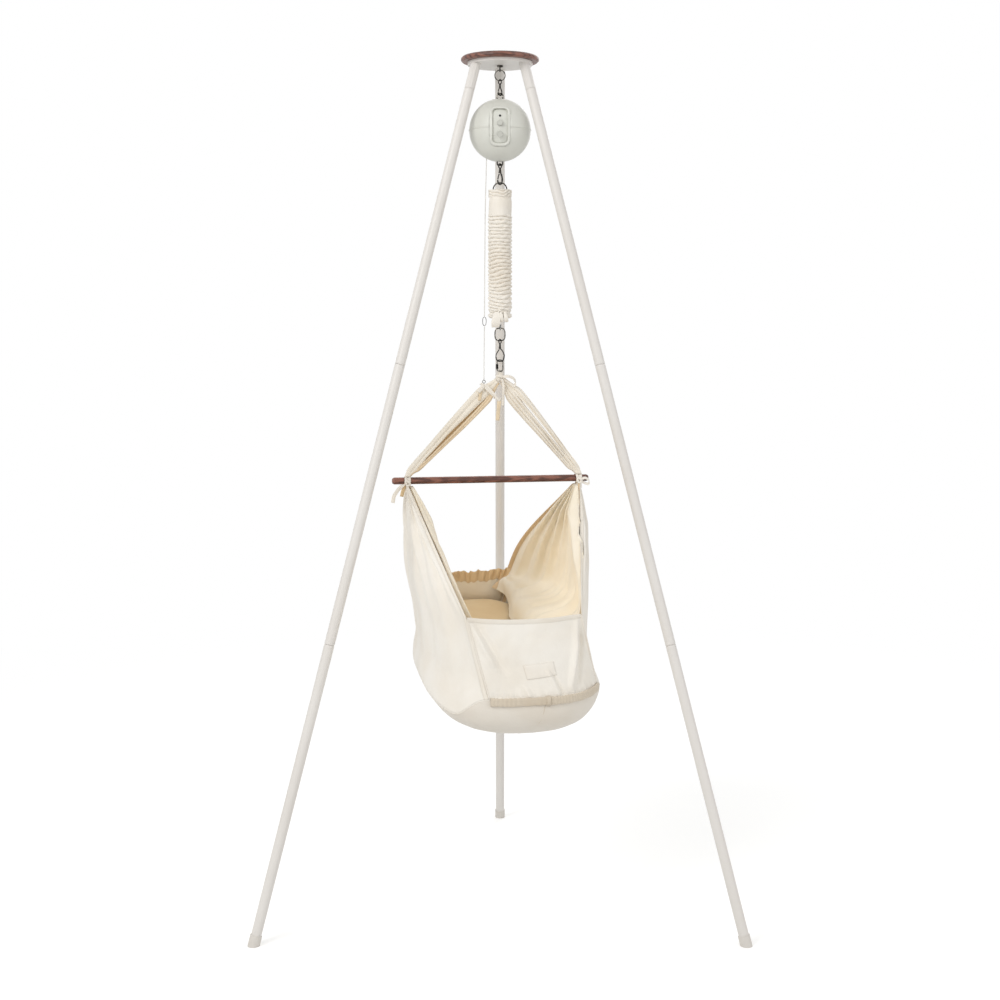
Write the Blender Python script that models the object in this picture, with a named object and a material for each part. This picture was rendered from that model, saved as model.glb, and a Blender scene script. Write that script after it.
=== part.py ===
"""A baby hammock on a tripod stand, with a rocking motor and a covered spring above it.

Units are metres and +Z is up. The stand's axis is the world Z axis moved to STAND_Y, so that
the origin is the middle of the ground box that the whole object covers.
"""
import math

import bmesh
import bpy
from mathutils import Matrix, Vector

GAP = 0.0003  # running clearance between pieces that touch

# Stand
STAND_Y = -0.1363
FOOT_CIRCLE = 0.600
LEG_TOP_CIRCLE = 0.060
PLATE_UNDERSIDE = 1.866
PLATE_DIA = 0.1417
PLATE_THICK = 0.0063
DISC_DIA = 0.170
DISC_THICK = 0.0106
LEG_DIA = 0.022
LEG_WALL = 0.0014
LEG_SIDES = 10
STUB_LENGTH = 0.056
SECTION_LENGTH = 0.592
SPIGOT_LENGTH = 0.040
FOOT_CAP_DIA = 0.0255
FOOT_CAP_HEIGHT = 0.022
LEG_ANGLES = {"left": 210.0, "right": 330.0, "back": 90.0}

# Links between the plate and the motor
EYE_REACH = 0.0131
EYE_WIRE = 0.0032
EYE_DIA = 0.010
EYE_SHANK_DIA = 0.008
SHANK_SHARE = 0.65
EYE_COLLAR = 0.0032
TOP_RING_DIA = 0.0228
TOP_RING_WIRE = 0.0022
HOOK_EYE_DIA = 0.0096
HOOK_EYE_WIRE = 0.0026
HOOK_WIRE = 0.0030
HOOK_WIDTH = 0.0120
TOP_HOOK_DROP = 0.0336
HOOK_YAW = 45.0
NECK_SHARE = 0.24

# Motor
BAIL_PROUD = 0.0113
MOTOR_DIA = 0.135
SHELL_WALL = 0.0025
SHELL_COLUMNS = 26
SHELL_ROWS = 6
BAIL_WIRE = 0.0035
BAIL_SPAN = 0.0118
BAIL_BLOCK_Z = 0.047
BAIL_BLOCK_WIDTH = 0.022
BAIL_BLOCK_HEIGHT = 0.008
BAIL_SEAT = 0.001
BAIL_BEND = 0.55
PANEL_HALF_WIDTH = 0.0228
PANEL_TOP = 0.0439
PANEL_BOTTOM = -0.0406
PANEL_CORNER = 0.014
PANEL_PROUD = 0.0010
RECESS_HALF_WIDTH = 0.0166
RECESS_TOP = 0.0403
RECESS_BOTTOM = -0.0345
RECESS_DEPTH = 0.0030
PANEL_DEPTH = 0.0060
LENS_DIA = 0.0046
LENS_TILT = 21.6
KNOB_DIA = 0.0128
KNOB_HEIGHT = 0.0058
KNOB_TILTS = {"timer_knob": 6.6, "speed_knob": -14.1}
CRANK_ABOVE = 0.008
CRANK_RADIUS = 0.0075
CRANK_DISC_DIA = 0.024
CRANK_PIN_DIA = 0.0032
CRANK_DISC_THICK = 0.0045
CRANK_WEB = 0.0010
YOKE_WALL = 0.0040
YOKE_SLACK = 0.0005
SHAFT_DIA = 0.006
GEARBOX_DIA = 0.037
GEARBOX_LENGTH = 0.018
CAN_DIA = 0.032
CAN_LENGTH = 0.023
CHASSIS_Y = 0.011
CHASSIS_THICK = 0.003
CRANK_FACE_Y = 0.0045
BOARD_HALF_WIDTH = 0.013
BOARD_HALF_HEIGHT = 0.025
BOARD_THICK = 0.0016
KNOB_SHAFT = 0.0030
INLET_DIA = 0.0120
INLET_BORE = 0.0070
INLET_DEPTH = 0.0100
INLET_WALL = 0.0020
INLET_PROUD = 0.0008
INLET_BELOW = 0.015
DRIVE_BAIL_PROUD = 0.0075

# Spring and its cover
LOWER_HOOK_DROP = 0.0444
LOWER_HOOK_WIRE = 0.0036
LOWER_HOOK_WIDTH = 0.0140
SPRING_RING_DIA = 0.030
SPRING_RING_WIRE = 0.0030
SPRING_DIA = 0.033
SPRING_WIRE = 0.0030
SPRING_TURNS = 11
SPRING_LOOP_DIA = 0.014
SPRING_SHOULDER = 0.0079
SPRING_LENGTH = 0.219
SPRING_TAIL = 0.0463
COVER_ABOVE = 0.0325
COVER_BELOW = 0.0276
COVER_PLAIN = 0.022
COVER_FOLDS_BELOW = 0.010
COVER_FOLDS = 26
COVER_SIDES = 14
COVER_RADIUS = 0.0265
COVER_FOLD_DEPTH = 0.0034
COVER_CLOTH = 0.0020
TIE_CORD_DIA = 0.0022

# Links between the spring and the hammock
D_LINK_WIDTH = 0.0225
D_LINK_HEIGHT = 0.0275
D_LINK_WIRE = 0.0030
CARABINER_DROP = 0.0488
CARABINER_WIDTH = 0.0225
CARABINER_YAW = -33.5
LOWER_LINK_WIDTH = 0.0130
LOWER_LINK_HEIGHT = 0.0247
LOWER_LINK_WIRE = 0.0026
LOWER_LINK_CORNER = 0.0040
LINK_OPENING = 0.0035
SLEEVE_DIA = 0.0054
SLEEVE_LENGTH = 0.0110

# Safety cord
CORD_DIA = 0.0020
CORD_TOP = (-0.0280, 0.0, 1.676)
CORD_CLIP = (-0.0345, 0.0, 1.3119)
CORD_RING = (-0.0357, 0.0, 1.1787)
CORD_RING_DIA = 0.0066
CLIP_HEIGHT = 0.0190
CLIP_WIDTH = 0.0080
CLIP_WIRE = 0.0014

# Hammock, in its own axes: U across, V towards the far end
HAMMOCK_X = -0.0195
HAMMOCK_Y = 0.001
HAMMOCK_YAW = 11.5
KNOT_DROP = 0.0152
KNOT_RADIUS = 0.0088
WEBBING_WIDTH = 0.0080
WEBBING_THICK = 0.0015
WEBBING_LOOP = 0.0075
BAR_DROP = 0.226
BAR_DIA = 0.0156
BAR_HALF_LENGTH = 0.224
TIE_INSET = {"left": 0.034, "right": 0.0235}
TIE_CLOTH = 0.0016
TIE_WIDTH = 0.016
TAIL_DROP = {"left": 0.046, "right": 0.024}
STRAP_CLOTH = 0.0030
STRAP_START = 0.016
STRAP_WIDEST = 0.041
STRAP_END = 0.024
STRAP_SPREAD = 0.16
STRAP_FOLDS = 3
CLOTH = 0.0016
BUNDLE_WIDTH = 0.030
PANEL_FOLDS = 4
RIM_DROP = 0.250
RIM_TILT = 0.014
RIM_HALF_LENGTH = 0.318
RIM_MID = {"left": -0.182, "right": 0.198}
RIM_NEAR = {"left": -0.114, "right": 0.127}
RIM_FAR = {"left": -0.110, "right": 0.118}
RIM_POWER = 2.24
BED_CENTRE_U = 0.016
BED_HALF_LENGTH = 0.335
BED_HALF_WIDTH = 0.195
BED_FAR_TAPER = 0.066
BED_SQUARENESS = 3.2
BED_EDGE_HEIGHT = 0.080
BED_EDGE_REACH = 0.090
BED_TILT = 0.172
BED_DROP = 0.467
EDGE_SHARE = 0.008
EDGE_ANGLE = 0.35
SEAM_HEIGHT = 0.047
TRIM_RISE = 0.0497
MATTRESS_EDGE = 0.107
PAD_SLACK = 0.008
MATTRESS_CROWN = 0.010
NEAR_ANGLES = (254.5, 316.0)
FAR_ANGLES = (72.0, 114.0)
TRIM_HEIGHT = 0.020
TRIM_THICK = 0.0045

# Heights down the chain, each from the piece that carries it
STUB_END = PLATE_UNDERSIDE - STUB_LENGTH
UPPER_END = STUB_END - SECTION_LENGTH
MIDDLE_END = UPPER_END - SECTION_LENGTH
EYE_LOW = PLATE_UNDERSIDE - EYE_REACH
TOP_RING_HIGH = EYE_LOW + (EYE_WIRE + TOP_RING_WIRE) / 2 + GAP
TOP_RING_Z = TOP_RING_HIGH - TOP_RING_DIA / 2
TOP_HOOK_HIGH = TOP_RING_Z - TOP_RING_DIA / 2 + (TOP_RING_WIRE + HOOK_EYE_WIRE) / 2 + GAP
TOP_BAIL_Z = TOP_HOOK_HIGH - TOP_HOOK_DROP + (HOOK_WIRE + BAIL_WIRE) / 2 + GAP
MOTOR_Z = TOP_BAIL_Z - BAIL_PROUD - MOTOR_DIA / 2
INLET_Z = MOTOR_Z - INLET_BELOW
DRIVE_BAIL_Z = MOTOR_Z - MOTOR_DIA / 2 - DRIVE_BAIL_PROUD
LOWER_HOOK_HIGH = DRIVE_BAIL_Z + (BAIL_WIRE + HOOK_EYE_WIRE) / 2 + GAP
SPRING_RING_HIGH = LOWER_HOOK_HIGH - LOWER_HOOK_DROP + (LOWER_HOOK_WIRE + SPRING_RING_WIRE) / 2 + GAP
SPRING_RING_Z = SPRING_RING_HIGH - SPRING_RING_DIA / 2
SPRING_HIGH = SPRING_RING_Z - SPRING_RING_DIA / 2 + (SPRING_RING_WIRE + SPRING_WIRE) / 2 + GAP
TOP_LOOP_Z = SPRING_HIGH - SPRING_LOOP_DIA / 2
SPRING_TOP = TOP_LOOP_Z - SPRING_LOOP_DIA / 2 - SPRING_SHOULDER
SPRING_BOTTOM = SPRING_TOP - SPRING_LENGTH
BOTTOM_LOOP_Z = SPRING_BOTTOM - SPRING_TAIL
SPRING_LOW = BOTTOM_LOOP_Z - SPRING_LOOP_DIA / 2
D_LINK_HIGH = SPRING_LOW + (SPRING_WIRE + D_LINK_WIRE) / 2 + GAP
D_LINK_LOW = D_LINK_HIGH - D_LINK_HEIGHT
CARABINER_HIGH = D_LINK_LOW + (D_LINK_WIRE + HOOK_EYE_WIRE) / 2 + GAP
CARABINER_LOW = CARABINER_HIGH - CARABINER_DROP
LINK_HIGH = CARABINER_LOW + (HOOK_WIRE + LOWER_LINK_WIRE) / 2 + GAP
LINK_LOW = LINK_HIGH - LOWER_LINK_HEIGHT
KNOT_Z = LINK_LOW - KNOT_DROP
BAR_Z = KNOT_Z - BAR_DROP
RIM_Z = BAR_Z - RIM_DROP
BED_Z = BAR_Z - BED_DROP
TIE_U = {"left": TIE_INSET["left"] - BAR_HALF_LENGTH, "right": BAR_HALF_LENGTH - TIE_INSET["right"]}

WALNUT = ("walnut", (0.104, 0.048, 0.030), 0.45, 0.0)
WARM_WHITE = ("warm_white_metal", (0.760, 0.745, 0.715), 0.40, 0.0)
RUBBER = ("grey_rubber", (0.560, 0.545, 0.520), 0.75, 0.0)
NICKEL = ("nickel", (0.400, 0.390, 0.380), 0.30, 1.0)
SHELL_WHITE = ("shell_plastic", (0.720, 0.725, 0.660), 0.50, 0.0)
KNOB_GREY = ("knob_plastic", (0.560, 0.560, 0.520), 0.45, 0.0)
DARK = ("dark_lens", (0.020, 0.022, 0.022), 0.25, 0.0)
STEEL = ("steel", (0.480, 0.480, 0.480), 0.35, 1.0)
BOARD = ("circuit_board", (0.030, 0.140, 0.060), 0.55, 0.0)
COTTON = ("cotton", (0.880, 0.850, 0.790), 0.90, 0.0)
TRIM = ("beige_cotton", (0.700, 0.620, 0.510), 0.90, 0.0)
CORD = ("white_cord", (0.800, 0.790, 0.760), 0.80, 0.0)


def clear_scene():
    for old in list(bpy.data.objects):
        bpy.data.objects.remove(old)


def surface(look):
    """The named Principled material, made once."""
    name, colour, roughness, metallic = look
    found = bpy.data.materials.get(name)
    if found:
        return found
    made = bpy.data.materials.new(name)
    made.use_nodes = True
    shader = made.node_tree.nodes["Principled BSDF"]
    shader.inputs["Base Color"].default_value = (*colour, 1)
    shader.inputs["Roughness"].default_value = roughness
    shader.inputs["Metallic"].default_value = metallic
    made.diffuse_color = (*colour, 1)
    return made


def mesh_from(bm, name):
    """Welds, faces out and smooths a bmesh, and gives it as mesh data."""
    bmesh.ops.remove_doubles(bm, verts=bm.verts, dist=1e-7)
    bmesh.ops.recalc_face_normals(bm, faces=bm.faces)
    mesh = bpy.data.meshes.new(name)
    bm.to_mesh(mesh)
    bm.free()
    mesh.shade_smooth()
    mesh.set_sharp_from_angle(angle=math.radians(35))
    return mesh


def add(name, mesh, look, pivot):
    """Adds a mesh given in the stand's axes, carried by a pivot empty."""
    made = bpy.data.objects.new(name, mesh)
    bpy.context.collection.objects.link(made)
    made.data.materials.append(surface(look))
    made.parent = pivot
    made.location = Vector((0, STAND_Y, 0)) - pivot.matrix_world.translation
    return made


def pivot_at(name, point, parent=None):
    """An empty on a joint's axis, at a point in the stand's axes."""
    empty = bpy.data.objects.new(name, None)
    bpy.context.collection.objects.link(empty)
    empty.empty_display_size = 0.02
    place = Vector(point) + Vector((0, STAND_Y, 0))
    if parent:
        empty.parent = parent
        empty.location = place - parent.matrix_world.translation
    else:
        empty.location = place
    bpy.context.view_layer.update()
    return empty


def turned(outline, steps=24, frame=None):
    """A closed (radius, height) outline spun about Z, then moved by frame."""
    bm = bmesh.new()
    ring = [bm.verts.new((r, 0, z)) for r, z in outline]
    edges = []
    for a, b in zip(ring, ring[1:] + ring[:1]):
        if a.co.x > 0 or b.co.x > 0:
            edges.append(bm.edges.new((a, b)))
    bmesh.ops.spin(bm, geom=ring + edges, cent=(0, 0, 0), axis=(0, 0, 1), angle=math.tau, steps=steps)
    bmesh.ops.remove_doubles(bm, verts=bm.verts, dist=1e-6)
    if frame:
        bm.transform(frame)
    return mesh_from(bm, "turned")


def tube_outline(outer, inner, low, high):
    return [(outer, high), (outer, low), (inner, low), (inner, high)]


def swept(points, section, across=None, cyclic=False, scales=None):
    """A section carried along points. It keeps its first axis on across, or turns as little as it can."""
    points = [Vector(p) for p in points]
    count = len(points)
    bm = bmesh.new()
    rings = []
    side = None
    for i, point in enumerate(points):
        before = points[i - 1] if i or cyclic else point
        after = points[(i + 1) % count] if i < count - 1 or cyclic else point
        along = (after - before).normalized()
        if across:
            side = Vector(across)
        elif side is None:
            side = along.orthogonal()
        side = (side - along * side.dot(along)).normalized()
        up = along.cross(side)
        size = scales[i] if scales else 1
        rings.append([bm.verts.new(point + (side * a + up * b) * size) for a, b in section])
    pairs = list(zip(rings, rings[1:] + rings[:1])) if cyclic else list(zip(rings, rings[1:]))
    sides = len(section)
    for one, two in pairs:
        for k in range(sides):
            bm.faces.new((one[k], one[(k + 1) % sides], two[(k + 1) % sides], two[k]))
    if not cyclic:
        bm.faces.new(rings[0])
        bm.faces.new(rings[-1][::-1])
    return mesh_from(bm, "swept")


def circle(radius, sides=6):
    return [
        (radius * math.cos(math.tau * k / sides), radius * math.sin(math.tau * k / sides))
        for k in range(sides)
    ]


def box_outline(half_wide, half_high):
    return [(half_wide * x, half_high * z) for x, z in ((-1, -1), (1, -1), (1, 1), (-1, 1))]


def strip(width, thick):
    return box_outline(width / 2, thick / 2)


def prism(outline, depth, frame=None):
    """A flat outline in X and Z, given its depth along Y about 0."""
    bm = bmesh.new()
    face = bm.faces.new([bm.verts.new((x, -depth / 2, z)) for x, z in outline])
    lifted = bmesh.ops.extrude_face_region(bm, geom=[face])
    moved = [item for item in lifted["geom"] if isinstance(item, bmesh.types.BMVert)]
    bmesh.ops.translate(bm, verts=moved, vec=(0, depth, 0))
    if frame:
        bm.transform(frame)
    return mesh_from(bm, "prism")


def rounded_box(half_x, low_z, high_z, corner, steps=4):
    """The outline of a box with round corners, in X and Z."""
    centres = (
        (half_x - corner, high_z - corner, 0),
        (corner - half_x, high_z - corner, 90),
        (corner - half_x, low_z + corner, 180),
        (half_x - corner, low_z + corner, 270),
    )
    outline = []
    for x, z, start in centres:
        for k in range(steps + 1):
            angle = math.radians(start + 90 * k / steps)
            outline.append((x + corner * math.cos(angle), z + corner * math.sin(angle)))
    return outline


def ball(radius, centre):
    bm = bmesh.new()
    bmesh.ops.create_uvsphere(bm, u_segments=SHELL_COLUMNS, v_segments=2 * SHELL_ROWS, radius=radius)
    bm.transform(Matrix.Translation(centre))
    return mesh_from(bm, "ball")


def combine(first, *steps):
    """A mesh after a run of (operation, mesh) Boolean steps."""
    base = bpy.data.objects.new("base", first)
    bpy.context.collection.objects.link(base)
    others = []
    for operation, mesh in steps:
        other = bpy.data.objects.new("other", mesh)
        bpy.context.collection.objects.link(other)
        others.append(other)
        step = base.modifiers.new(operation.lower(), "BOOLEAN")
        step.operation = operation
        step.object = other
        step.solver = "EXACT"
    graph = bpy.context.evaluated_depsgraph_get()
    result = bpy.data.meshes.new_from_object(base.evaluated_get(graph))
    for used in (base, *others):
        bpy.data.objects.remove(used)
    bm = bmesh.new()
    bm.from_mesh(result)
    return mesh_from(bm, "combined")


def turn_to(direction, point=(0, 0, 0)):
    """A frame at point whose Z axis lies along direction."""
    turn = Vector((0, 0, 1)).rotation_difference(Vector(direction))
    return Matrix.Translation(point) @ turn.to_matrix().to_4x4()


def yawed(degrees, point=(0, 0, 0)):
    return Matrix.Translation(point) @ Matrix.Rotation(math.radians(degrees), 4, "Z")


def moved(mesh, frame):
    mesh.transform(frame)
    return mesh


def smooth_path(keys, steps, cyclic=False):
    """Points on a Catmull-Rom curve through the keys, steps to each span."""
    keys = [Vector(key) for key in keys]
    count = len(keys)
    path = []
    for i in range(count if cyclic else count - 1):
        b, c = keys[i], keys[(i + 1) % count]
        a = keys[i - 1] if i or cyclic else 2 * b - c
        d = keys[(i + 2) % count] if i < count - 2 or cyclic else 2 * c - b
        for k in range(steps):
            t = k / steps
            path.append(0.5 * (2 * b + (c - a) * t + (2 * a - 5 * b + 4 * c - d) * t * t
                               + (3 * b - a - 3 * c + d) * t ** 3))
    if not cyclic:
        path.append(keys[-1])
    return path


def ring_mesh(radius, wire_dia, centre, plane="XZ", sides=6, steps=16):
    """A wire ring standing in the XZ or the YZ plane."""
    points = []
    for k in range(steps):
        angle = math.tau * k / steps
        flat, high = radius * math.cos(angle), radius * math.sin(angle)
        points.append((flat, 0, high) if plane == "XZ" else (0, flat, high))
    mesh = swept(points, circle(wire_dia / 2, sides), cyclic=True)
    return moved(mesh, Matrix.Translation(centre))


def cloth_curve(name, points, diameter, look, pivot, sides_level=2, radii=None):
    """A round cord or coil as a curve object with filled caps."""
    curve = bpy.data.curves.new(name, "CURVE")
    curve.dimensions = "3D"
    curve.bevel_depth = diameter / 2
    curve.bevel_resolution = sides_level
    curve.use_fill_caps = True
    curve.resolution_u = 1
    spline = curve.splines.new("POLY")
    spline.points.add(len(points) - 1)
    for i, point in enumerate(points):
        spline.points[i].co = (*point, 1)
        if radii:
            spline.points[i].radius = radii[i]
    return add(name, curve, look, pivot)


clear_scene()

stand = pivot_at("stand", (0, 0, 0))


# Tripod stand

def leg_frame(angle):
    """A frame whose origin is the foot's point on the floor and whose Z runs up the leg."""
    way = Vector((math.cos(math.radians(angle)), math.sin(math.radians(angle)), 0))
    foot = way * FOOT_CIRCLE
    top = way * LEG_TOP_CIRCLE + Vector((0, 0, PLATE_UNDERSIDE))
    return turn_to((top - foot).normalized(), foot), (top - foot).length / PLATE_UNDERSIDE


def leg_section(low, high, stretch):
    """A tube from low to high, with a narrower spigot above it that enters the next tube."""
    outer, inner = LEG_DIA / 2, LEG_DIA / 2 - LEG_WALL
    start, end = low * stretch, high * stretch - GAP
    neck = inner - GAP
    bore = neck - LEG_WALL
    return [(neck, end + SPIGOT_LENGTH), (neck, end), (outer, end), (outer, start),
            (inner, start), (inner, end - LEG_DIA), (bore, end), (bore, end + SPIGOT_LENGTH)]


def make_stand():
    plate_top = PLATE_UNDERSIDE + PLATE_THICK
    plate = turned(tube_outline(PLATE_DIA / 2, EYE_SHANK_DIA / 2 + GAP, PLATE_UNDERSIDE, plate_top), 36)
    stubs = []
    tube_floor = FOOT_CAP_HEIGHT * 0.45
    for side, angle in LEG_ANGLES.items():
        frame, stretch = leg_frame(angle)
        root = (PLATE_UNDERSIDE + PLATE_THICK / 2) * stretch
        stub = tube_outline(LEG_DIA / 2, LEG_DIA / 2 - LEG_WALL, STUB_END * stretch, root)
        stubs.append(("UNION", turned(stub, LEG_SIDES, frame)))
        upper = leg_section(UPPER_END, STUB_END, stretch)
        add(f"leg_upper_{side}", turned(upper, LEG_SIDES, frame), WARM_WHITE, stand)
        middle = leg_section(MIDDLE_END, UPPER_END, stretch)
        add(f"leg_middle_{side}", turned(middle, LEG_SIDES, frame), WARM_WHITE, stand)
        lower = leg_section(tube_floor, MIDDLE_END, stretch)
        add(f"leg_lower_{side}", turned(lower, LEG_SIDES, frame), WARM_WHITE, stand)
        make_foot(side, frame, stretch, tube_floor)
    add("top_plate", combine(plate, *stubs), WARM_WHITE, stand)
    low = plate_top + GAP
    high = low + DISC_THICK
    edge = DISC_THICK * 0.3
    bore_top = low + DISC_THICK * SHANK_SHARE
    disc = [(0, high), (DISC_DIA / 2 - edge, high), (DISC_DIA / 2, high - edge), (DISC_DIA / 2, low + edge),
            (DISC_DIA / 2 - edge, low), (EYE_SHANK_DIA / 2 + GAP, low), (EYE_SHANK_DIA / 2 + GAP, bore_top),
            (0, bore_top)]
    add("top_disc", turned(disc, 36), WALNUT, stand)
    collar = EYE_DIA / 2 + EYE_WIRE / 2
    shank_top = bore_top - GAP
    under = PLATE_UNDERSIDE - GAP
    shank = [(0, shank_top), (EYE_SHANK_DIA / 2, shank_top), (EYE_SHANK_DIA / 2, under),
             (collar, under), (collar, under - EYE_COLLAR), (0, under - EYE_COLLAR)]
    eye = ring_mesh(EYE_DIA / 2, EYE_WIRE, (0, 0, EYE_LOW + EYE_DIA / 2), "YZ")
    add("eye_bolt", combine(turned(shank, 12), ("UNION", eye)), NICKEL, stand)


def make_foot(side, frame, stretch, tube_floor):
    """A rubber cap on the tube's end, cut flat where it stands on the floor."""
    outer, bore = FOOT_CAP_DIA / 2, LEG_DIA / 2 + GAP
    floor = tube_floor * stretch - GAP
    top = FOOT_CAP_HEIGHT * stretch
    cup = [(bore, top), (outer, top), (outer, floor * 0.3), (outer * 0.9, -FOOT_CAP_DIA), (0, -FOOT_CAP_DIA),
           (0, floor), (bore, floor)]
    bm = bmesh.new()
    bm.from_mesh(turned(cup, 18, frame))
    cut = bmesh.ops.bisect_plane(bm, geom=bm.verts[:] + bm.edges[:] + bm.faces[:], plane_co=(0, 0, 0),
                                 plane_no=(0, 0, -1), clear_outer=True)
    rim = [item for item in cut["geom_cut"] if isinstance(item, bmesh.types.BMEdge)]
    bmesh.ops.holes_fill(bm, edges=rim, sides=0)
    add(f"foot_cap_{side}", mesh_from(bm, "foot_cap"), RUBBER, stand)


# Snap hooks and rings

def snap_hook(drop, width, wire_dia):
    """A hook below an eye whose top wire's centre is at the origin. Drop is to the loop's lowest centre."""
    eye = ring_mesh(HOOK_EYE_DIA / 2, HOOK_EYE_WIRE, (0, 0, -HOOK_EYE_DIA / 2), "YZ", steps=14)
    neck_top = -HOOK_EYE_DIA
    neck_low = neck_top - drop * NECK_SHARE
    neck = turned([(0, neck_top), (wire_dia * 0.55, neck_top), (wire_dia, neck_low), (0, neck_low)], 10)
    half = width / 2
    height = neck_low + drop
    shape = ((0.62, 0.16), (1.0, 0.52), (0.72, 0.92), (0.0, 1.0), (-0.72, 0.92), (-1.0, 0.60))
    keys = [(wire_dia * 0.40, 0, neck_low + wire_dia * 0.2)]
    keys += [(half * across, 0, neck_low - height * down) for across, down in shape]
    loop = swept(smooth_path(keys, 2), circle(wire_dia / 2))
    gate_low = Vector(keys[-1]) + Vector((wire_dia * 0.05, 0, wire_dia * 0.3 + GAP))
    gate_high = Vector((-wire_dia * 0.64, 0, neck_low - wire_dia * 0.22 - GAP))
    bow = (gate_low + gate_high) / 2 + Vector((-width * 0.05, 0, 0))
    gate = swept(smooth_path([gate_low, bow, gate_high], 2), circle(wire_dia * 0.36), across=(0, 1, 0))
    return combine(neck, ("UNION", eye), ("UNION", loop)), gate, gate_high


def hang_hook(name, gate_name, hook, yaw, high, pivot):
    """Places a snap hook and its gate at a height, on the hook's pivot."""
    body, gate, hinge = snap_hook(*hook)
    frame = yawed(yaw, (0, 0, high))
    add(name, moved(body, frame), NICKEL, pivot)
    gate_pivot = pivot_at(gate_name + "_swing", frame @ hinge, pivot)
    add(gate_name, moved(gate, frame), NICKEL, gate_pivot)


def make_top_hardware():
    """The ring and snap hook between the plate's eye and the motor. Gives the motor's pivot."""
    ring_pivot = pivot_at("ring_swing", (0, 0, TOP_RING_HIGH), stand)
    add("top_ring", ring_mesh(TOP_RING_DIA / 2, TOP_RING_WIRE, (0, 0, TOP_RING_Z)), NICKEL, ring_pivot)
    hook_pivot = pivot_at("hook_swing", (0, 0, TOP_RING_Z), ring_pivot)
    hang_hook("top_hook", "top_hook_gate", (TOP_HOOK_DROP, HOOK_WIDTH, HOOK_WIRE), HOOK_YAW, TOP_HOOK_HIGH,
              hook_pivot)
    return pivot_at("motor_turn", (0, 0, TOP_BAIL_Z), hook_pivot)


# Motor

def panel_solids():
    """The panel's outer prism and the prism of its recess, both in front of the sphere."""
    depth = MOTOR_DIA
    front = Matrix.Translation((0, -depth / 2 - MOTOR_DIA * 0.25, MOTOR_Z))
    outer = rounded_box(PANEL_HALF_WIDTH, PANEL_BOTTOM, PANEL_TOP, PANEL_CORNER)
    inner = rounded_box(PANEL_HALF_WIDTH - GAP, PANEL_BOTTOM + GAP, PANEL_TOP - GAP, PANEL_CORNER - GAP)
    recess = rounded_box(RECESS_HALF_WIDTH, RECESS_BOTTOM, RECESS_TOP, PANEL_CORNER * 0.7)
    return prism(outer, depth, front), prism(inner, depth, front), prism(recess, depth, front)


def facing(tilt):
    """The outward direction on the sphere's front at a tilt above the horizon, in degrees."""
    angle = math.radians(tilt)
    return Vector((0, -math.cos(angle), math.sin(angle)))


def rod(radius, start, end, sides=12):
    """A plain round bar between two points."""
    start, end = Vector(start), Vector(end)
    length = (end - start).length
    frame = turn_to((end - start).normalized(), start)
    return turned([(0, length), (radius, length), (radius, 0), (0, 0)], sides, frame)


def half_shell(upper, lip):
    """Half of the motor's case. The upper half ends in a low bead at the equator."""
    radius, inner = MOTOR_DIA / 2, MOTOR_DIA / 2 - SHELL_WALL
    start = math.asin(lip / radius)
    arc = [start + (math.pi / 2 - start) * k / SHELL_ROWS for k in range(SHELL_ROWS + 1)]
    outside = [(radius * math.cos(a), radius * math.sin(a)) for a in arc]
    inside = [(inner * math.cos(a), max(inner * math.sin(a), lip)) for a in reversed(arc)]
    if upper:
        proud = radius + PANEL_PROUD * 0.6
        bead = [(proud, lip), (proud, lip + SHELL_WALL * 0.8)]
        outside = bead + [p for p in outside if p[1] > lip + SHELL_WALL]
    outline = outside + inside
    outline[len(outside) - 1] = (0, radius)
    outline[len(outside)] = (0, inner)
    if not upper:
        outline = [(r, -z) for r, z in outline]
    return turned(outline, SHELL_COLUMNS, Matrix.Translation((0, 0, MOTOR_Z)))


def make_motor(motor_pivot):
    radius = MOTOR_DIA / 2
    centre = Vector((0, 0, MOTOR_Z))
    window, panel_block, recess = panel_solids()
    half = BAIL_SPAN / 2
    hole = BAIL_WIRE / 2 + 2 * GAP
    top_holes = [("DIFFERENCE", rod(hole, (x, 0, MOTOR_Z + radius * 0.8), (x, 0, MOTOR_Z + radius * 1.1)))
                 for x in (-half, half)]
    upper = combine(half_shell(True, GAP / 2), ("DIFFERENCE", window), *top_holes)
    add("motor_shell_upper", upper, SHELL_WHITE, motor_pivot)
    low_holes = [("DIFFERENCE", rod(hole, (x, 0, MOTOR_Z - radius * 1.1), (x, 0, MOTOR_Z - radius * 0.8)))
                 for x in (-half, half)]
    cord_x = CORD_TOP[0]
    cord_hole = rod(CORD_DIA * 1.6, (cord_x, 0, MOTOR_Z - radius * 1.1), (cord_x, 0, MOTOR_Z - radius * 0.6))
    inlet_hole = rod(INLET_DIA / 2 + GAP, (0, radius * 0.7, INLET_Z), (0, radius * 1.2, INLET_Z), 16)
    lower = combine(half_shell(False, GAP / 2), ("DIFFERENCE", window), *low_holes,
                    ("DIFFERENCE", cord_hole), ("DIFFERENCE", inlet_hole))
    add("motor_shell_lower", lower, SHELL_WHITE, motor_pivot)
    make_panel(motor_pivot, panel_block, recess, centre)
    add("top_bail", bail_wire(MOTOR_Z + BAIL_BLOCK_Z - BAIL_SEAT, TOP_BAIL_Z), NICKEL, motor_pivot)
    make_chassis(motor_pivot)


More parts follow.
